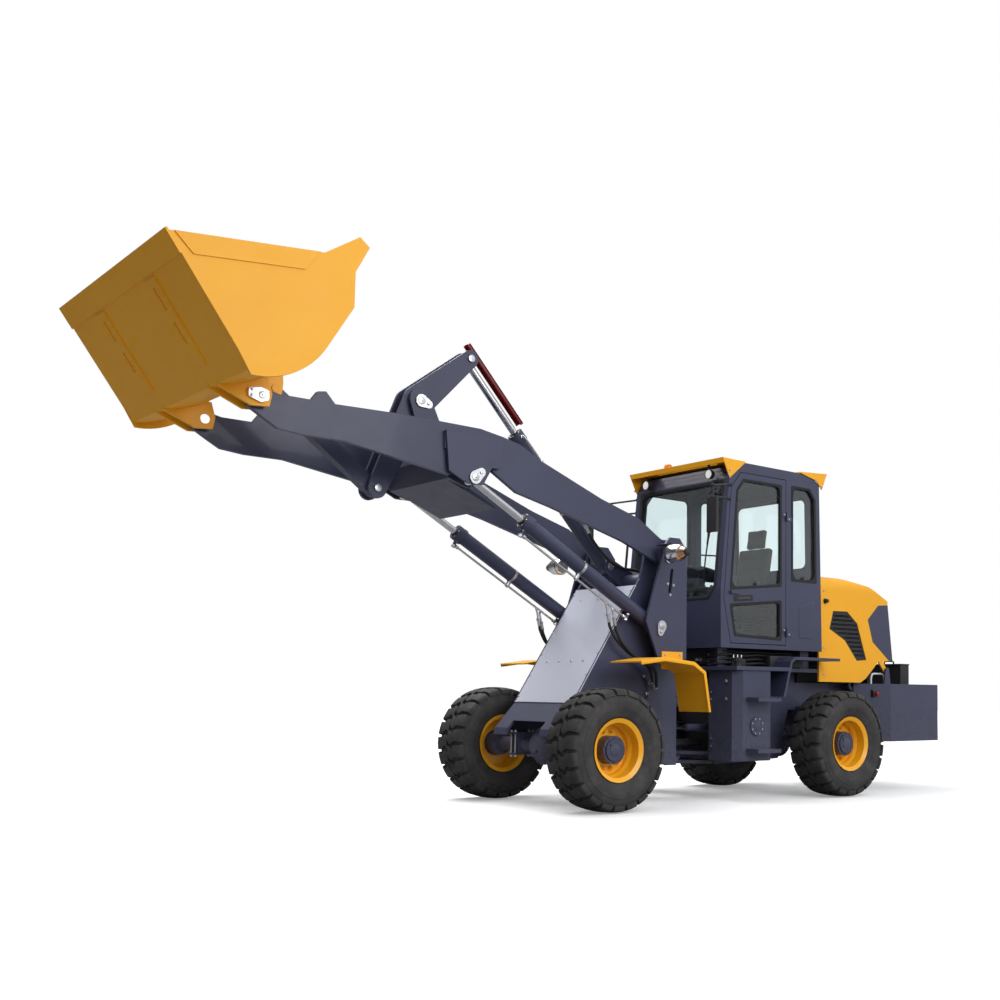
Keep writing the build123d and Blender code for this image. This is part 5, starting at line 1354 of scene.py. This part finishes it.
def make_seat():
    base = cushion("seat_base", (0.415, 0.430, 0.088), BASE_SEAMS, Matrix.Translation(at(-912, 0, 1822)))
    back = cushion("seat_back", (0.490, 0.415, 0.078), BACK_SEAMS, leaning(-1098, 2128, 9.5))
    head = cushion("seat_headrest", (0.185, 0.225, 0.056), ((0, 0.0, 0.10),), leaning(-1145, 2461, 9), 0.008)
    stand = bmesh.new()
    for z in (1400, 1640):
        add_box(stand, at(-1050, -150, z), at(-770, 150, z + 26), 0.004)
    for fold in range(6):
        grow, z = 6 * (fold % 2), 1428 + 34 * fold
        add_box(stand, at(-1025 - grow, -128 - grow, z), at(-795 + grow, 128 + grow, z + 34), 0.010)
    add_box(stand, at(-1110, -205, 1668), at(-705, 205, 1772), 0.014)
    for y in (-60, 60):
        add_tube(stand, [at(-1128, y, 2330), at(-1140, y, 2400), at(-1150, y, 2440)], 0.007, 10)
    for sign in BOTH:
        add_box(stand, at(-1110, sign * 214, 1772), at(-1060, sign * 228, 1990), 0.004)
        add_disc(stand, at(-1085, sign * 205, 1850), (0, sign, 0), 0.024, 0.024, 24, 0.004)
    for part in (base, back, head, new_piece("seat_frame", stand, "rear", black_plastic)):
        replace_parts(part, "seat")
    return len(base.data.polygons)


print("seat cushion faces", make_seat())

# %% [markdown]
# ## Driver's place
# The steering wheel needs spokes, a boss and a spinner knob. In front of it stands a small instrument
# pod, and on the right a console with the loader's levers. Pedals lie on the floor.

# %% Steering wheel, instruments and levers
COLUMN_FOOT, COLUMN_TOP = (-200, 1395), (-420, 2080)
WHEEL_ALONG = 0.7125                         # the steering wheel's place up its column
COLUMN_PROFILES = (                          # boss and column cover: (up the column, radius), steps
    (((0.690, 0), (0.690, 0.042), (0.706, 0.046), (0.722, 0.040), (0.727, 0.026), (0.728, 0)), 32),
    (((0.30, 0), (0.30, 0.050), (0.52, 0.058), (0.60, 0.052), (0.60, 0)), 24))
SPINNER = ((0.724, 0), (0.724, 0.010), (0.742, 0.012), (0.748, 0.022), (0.766, 0.022), (0.770, 0.014),
           (0.771, 0))
LEVER_KNOB = ((0, 0), (0.004, 0.014), (0.020, 0.021), (0.040, 0.019), (0.052, 0.010), (0.054, 0))


def make_controls():
    controls, cluster = new_forms(2)
    for profile, steps in COLUMN_PROFILES:
        add_spin(controls, profile, (0, 0, 0), AHEAD, UP, steps)
    for number in range(3):
        angle = math.tau * number / 3 + 0.5
        across, up = math.sin(angle), math.cos(angle)
        inner = Vector((WHEEL_ALONG - 0.006, 0.036 * across, 0.036 * up))
        outer = Vector((WHEEL_ALONG, 0.172 * across, 0.172 * up))
        add_tube(controls, [inner, (inner + outer) / 2 - Vector((0.006, 0, 0)), outer], 0.010, 10)
    add_spin(controls, SPINNER, (0, 0.15, 0.09), AHEAD, UP, 20)
    onto_line([controls], COLUMN_FOOT, COLUMN_TOP)
    for corner, opposite, edge in (((-300, -150, 1900), (-190, 150, 2010), 0.018),
                                   ((-255, -260, 1400), (-120, 260, 1560), 0.020),
                                   ((-1080, -440, 1400), (-640, -290, 1960), 0.020),
                                   ((-330, -164, 1400), (-300, -96, 1500), 0.006),
                                   ((-330, 76, 1400), (-300, 144, 1500), 0.006)):
        add_box(controls, at(*corner), at(*opposite), edge)
    for x, y in ((-700, -340), (-760, -390)):
        add_tube(controls, course(((x, y, 1960), (x + 12, y, 2020), (x + 40, y, 2090))), 0.007, 10)
        add_spin(controls, LEVER_KNOB, at(x + 38, y, 2082), (0.25, 0, 1), AHEAD, 20)
    new_piece("driver_controls", controls, "rear", trim_grey)
    for y in (-90, -30, 30, 90):
        add_disc(cluster, at(-300, y, 1962), (-1, 0, 0.1), 0.024, 0.006, 24, 0.0015)
    new_piece("instrument_cluster", cluster, "rear", zinc)


make_controls()
print("driver's place made")

# %% Guard bars, latches and visor bolts
def make_cab_details():
    fittings, bars = new_forms(2)
    for sign in BOTH:
        bolt_side(fittings, sign, 640, 0.009, (-126, 2948), (-110, 2905), (-1372, 2940))
        for v in (2100, 2800):
            add_bolt(fittings, on_back(sign * 600, v, 0), (-1, 0, 0), 0.007)
        add_disc(bars, at(-1130, sign * 611, 2036), (0, sign, 0), 0.016, 0.016, 20, 0.004)
    new_piece("cab_bolts", fittings, "rear", zinc)
    add_tube(bars, [at(-955, -600, 2345), at(-1130, -600, 2352), at(-1312, -600, 2360)], 0.008, 10)
    new_piece("quarter_bars", bars, "rear", black_plastic)
    for face, sign in SIDES:
        latch = bmesh.new()
        add_disc(latch, at(-480, sign * 613, 1950), (0, sign, 0), 0.015, 0.012, 20, 0.003)
        add_box(latch, at(-470, sign * 586, 1820), at(-330, sign * 606, 1842), 0.005)
        if sign < 0:
            add_tube(latch, [at(-175, -600, 2312), at(-500, -600, 2326), at(-815, -600, 2340)], 0.008, 10)
        new_piece("door_latch_" + face, latch, "door_" + face, black_plastic)


make_cab_details()
print("cab fittings made")

# %% [markdown]
# ## Tail
# The hood has a latch knob on each side, and its tail is a louvred panel. A round tail lamp and a
# flasher sit on each side of the louvres. The battery box has a lid with grab handles and bolted
# straps, and a white grab loop stands over each front corner of the counterweight.

# %% Hood latches and tail louvres
HOOD_TAIL = ((-2480, 1900), (-2560, 1300))
TAIL_OUT = (-1, 0, 0.13)
LATCH = ((0, 0), (0, 0.026), (0.006, 0.026), (0.008, 0.013), (0.020, 0.013), (0.026, 0.020), (0.036, 0.018),
         (0.038, 0))


def on_tail(u, v, height):
    """Places on the hood's leaning tail: u across, v up in machine height, height outward."""
    (top_x, top_z), (foot_x, foot_z) = HOOD_TAIL
    return at(top_x + (foot_x - top_x) * (top_z - v) / (top_z - foot_z) - height, u, v)


def make_hood_details():
    black, slate, steel, red, amber = new_forms(5)
    for sign in BOTH:
        add_spin(black, LATCH, at(-1515, sign * 560, 1851), (0, sign, 0), UP, 24)
        bolt_side(steel, sign, 560, 0.008, (-1500, 1140), (-1500, 1400), (-1500, 1950))
        for v in (1390, 1585, 1780):
            add_bolt(steel, on_tail(sign * 380, v, 5), TAIL_OUT, 0.008)
        for v, lens in ((1500, red), (1590, amber)):
            spot = on_tail(sign * 468, v, 0)
            add_ring(black, ((0, 0.033), (0, 0.041), (0.010, 0.041), (0.013, 0.035), (0.013, 0.033)), spot,
                     TAIL_OUT, (0, 1, 0))
            add_spin(lens, ((0, 0), (0, 0.033), (0.010, 0.033), (0.016, 0.026), (0.018, 0.012), (0.0185, 0)),
                     spot, TAIL_OUT, (0, 1, 0), 32)
    add_pressing(slate, ((-400, 1370), (400, 1370), (400, 1800), (-400, 1800)), on_tail, 5.0, 4.0, 30)
    for number in range(9):
        for vert in bmesh.ops.create_cube(black, size=1.0)["verts"]:
            height = 3 if vert.co.x > 0 else 18 if vert.co.z < 0 else 8
            vert.co = on_tail(vert.co.y * 720, 1408 + 42 * number + vert.co.z * 22, height)
    for name, form, finish in (("tail_lamps", red, lens_red), ("tail_flashers", amber, lens_amber),
                               ("hood_latches", black, black_plastic), ("hood_bolts", steel, zinc),
                               ("hood_tail_panel", slate, slate_paint)):
        new_piece(name, form, "hood", finish)


make_hood_details()
print("hood dressed")

# %% Blades in the side grilles
GRILLE = ((-1635, 1761), (-1847, 1765), (-2003, 1652), (-2142, 1295), (-1992, 1284), (-1808, 1480),
          (-1579, 1584))
BLADES, BLADE_PITCH, BLADE_INSET = 12, 42, 30
GRILLE_MIDDLE = (1761 + 1295) / 2


def run_across(outline, z, inset):
    """Lowest and highest x of the outline at height z, drawn in by inset; None outside it."""
    crossed = [a[0] + (b[0] - a[0]) * (z - a[1]) / (b[1] - a[1])
               for a, b in zip(outline, outline[1:] + outline[:1]) if min(a[1], b[1]) < z < max(a[1], b[1])]
    if len(crossed) < 2 or max(crossed) - min(crossed) < 2 * inset + 40:
        return None
    return min(crossed) + inset, max(crossed) - inset


def make_grille_blades():
    blades = bmesh.new()
    for number in range(BLADES):
        z = GRILLE_MIDDLE + (number - (BLADES - 1) / 2) * BLADE_PITCH
        run = run_across(GRILLE, z, BLADE_INSET)
        for sign in BOTH if run else ():
            add_box(blades, at(run[0], sign * 543, z - 3), at(run[1], sign * 550, z + 3), 0.001)
    return new_piece("grille_blades", blades, "hood", black_plastic)


print("made", make_grille_blades().name)

# %% Battery box and grab loops
loop_white = moulded("loop_white", (0.62, 0.62, 0.60), 0.42, 300.0, 0.2)
HANDLE_BOW = ((-60, 1270), (-50, 1300), (50, 1300), (60, 1270))      # step in y, z
GRAB_LOOP = ((-2275, 1058), (-2277, 1120), (-2300, 1158), (-2380, 1163), (-2458, 1158), (-2482, 1120),
             (-2484, 1058))                  # x, z


def make_tail_details():
    black, red, steel, white = new_forms(4)
    add_box(black, at(-2918, -506, 1262), at(-2762, 506, 1274), 0.004)
    add_box(black, at(-2730, -690, 1060), at(-2090, -500, 1063.5), 0.001)
    add_box(black, at(-2230, 596, 930), at(-2165, 628, 1000), 0.004)
    for y in (-300, 300):
        add_box(steel, at(-2922, y - 16, 1085), at(-2917, y + 16, 1272), 0.001)
        add_bolt(steel, at(-2922, y, 1120), (-1, 0, 0), 0.008)
        add_tube(black, course([(-2840, y + dy, z) for dy, z in HANDLE_BOW]), 0.008, 10)
    for sign in BOTH:
        add_tube(white, course([(x, sign * 510, z) for x, z in GRAB_LOOP], 6), 0.010, 12)
    add_spin(red, ((0, 0), (0, 0.013), (0.020, 0.011), (0.024, 0.018), (0.034, 0.017), (0.036, 0)),
             at(-2198, 628, 962), (0, 1, 0), UP, 20)
    bolt_side(steel, 1, 628, 0.005, (-2225, 936), (-2171, 994))
    for y in (-250, 250):
        for z in (700, 930):
            add_disc(steel, at(-3099.5, y, z), AHEAD, 0.016, 0.004, 6, 0.001)
    new_piece("tail_fittings", black, "rear", black_plastic)
    new_piece("isolator_knob", red, "rear", lens_red)
    new_piece("tail_bolts", steel, "rear", zinc)
    new_piece("grab_loops", white, "rear", loop_white)


make_tail_details()
print("tail made")

# %% [markdown]
# ## Studio
# A pale floor, a big soft light overhead and a fill from the machine's left keep the dark paint
# readable. A white room would light the machine from all sides and flatten it. So the room is white
# only to the eye, and as a light it is bright above and on the left, and dim ahead. Far from the
# machine the floor glows as white as the room, so no horizon shows. The camera stands low beside the
# front wheels, so the raised bucket looms over it.

# %% Floor, lights and camera
WHITE = (1, 1, 1)
FLOOR_GLOW = (4.0, 30.0, 0.26, 1.0)          # from and to, in metres from the machine, and its strengths
BRIGHT_SIDE = Vector((-0.50, 0.62, 0.60)).normalized()
WORLD_LIGHT = (-0.45, 0.9, 0.10, 1.05)       # cosines away from and towards that side, and strengths
CAMERA_PLACE = (6.674, 8.3935, 0.9448)
CAMERA_ANGLES = (40.2, 3.88, 0.6)            # yaw, pitch and roll in degrees


def stage_floor():
    floor = bmesh.new()
    bmesh.ops.create_grid(floor, x_segments=2, y_segments=2, size=60.0)
    made = new_object("studio_floor", floor)
    made.location.z = -0.001
    finish = Finish("studio_floor", (0.86, 0.86, 0.87), 0.75)
    seen = finish.node("ShaderNodeLightPath")["Is Camera Ray"]
    away = finish.node("ShaderNodeVectorMath", {0: finish.place}, operation="LENGTH")["Value"]
    glow = finish.ramp(away, *FLOOR_GLOW)
    finish.feed(finish.shader["Emission Color"], WHITE)
    finish.feed(finish.shader["Emission Strength"], finish.math("MULTIPLY", seen, glow))
    finish.colour(finish.mix(seen, (0.30, 0.30, 0.31), (0.87, 0.87, 0.88)))
    made.data.materials.append(finish.material)


def area_light(name, location, target, size, power):
    data = bpy.data.lights.new(name, "AREA")
    data.shape = "RECTANGLE"
    data.size, data.size_y = size
    data.energy = power
    made = bpy.data.objects.new(name, data)
    bpy.context.scene.collection.objects.link(made)
    made.location = location
    made.rotation_euler = (Vector(target) - Vector(location)).to_track_quat("-Z", "Y").to_euler()


def studio_camera():
    yaw, pitch, roll = (math.radians(angle) for angle in CAMERA_ANGLES)
    view = Vector((-math.sin(yaw) * math.cos(pitch), -math.cos(yaw) * math.cos(pitch), math.sin(pitch)))
    right = view.cross(Vector(UP)).normalized()
    up = right.cross(view)
    turned = math.cos(roll) * right + math.sin(roll) * up
    up = -math.sin(roll) * right + math.cos(roll) * up
    data = bpy.data.cameras.new("camera")
    data.sensor_width, data.lens = 36.0, 44.45
    data.shift_x, data.shift_y = -0.1215, 0.109
    made = bpy.data.objects.new("camera", data)
    bpy.context.scene.collection.objects.link(made)
    made.matrix_world = Matrix.Translation(CAMERA_PLACE) @ Matrix((turned, up, -view)).transposed().to_4x4()
    bpy.context.scene.camera = made


def studio_world():
    """White to the eye and through glass; as a light, bright from above and the left, dim from ahead."""
    world = bpy.data.worlds.new("studio")
    bpy.context.scene.world = world
    world.use_nodes = True
    graph = Graph(world.node_tree)
    seen = graph.tree.nodes["Background"]
    graph.feed(seen.inputs["Color"], WHITE)
    direction = graph.node("ShaderNodeTexCoord")["Generated"]
    toward = graph.node("ShaderNodeVectorMath", {0: direction, 1: BRIGHT_SIDE},
                        operation="DOT_PRODUCT")["Value"]
    lit = graph.node("ShaderNodeBackground", {"Color": (0.96, 0.98, 1),
                                              "Strength": graph.ramp(toward, *WORLD_LIGHT)})
    ray = graph.node("ShaderNodeLightPath")
    direct = graph.math("MAXIMUM", ray["Is Camera Ray"], ray["Is Transmission Ray"])
    blend = graph.node("ShaderNodeMixShader", {"Fac": direct, 1: lit["Background"],
                                               2: seen.outputs["Background"]})
    graph.feed(graph.tree.nodes["World Output"].inputs["Surface"], blend["Shader"])


studio_world()
bpy.context.scene.view_settings.view_transform = "Standard"
stage_floor()
area_light("overhead", (1.0, -3.0, 9.0), (0.0, 0.0, 1.0), (9.0, 6.0), 900.0)
area_light("left_fill", (0.0, 10.0, 5.5), (-0.8, 0.0, 1.6), (7.0, 5.0), 450.0)
studio_camera()
print("studio set")
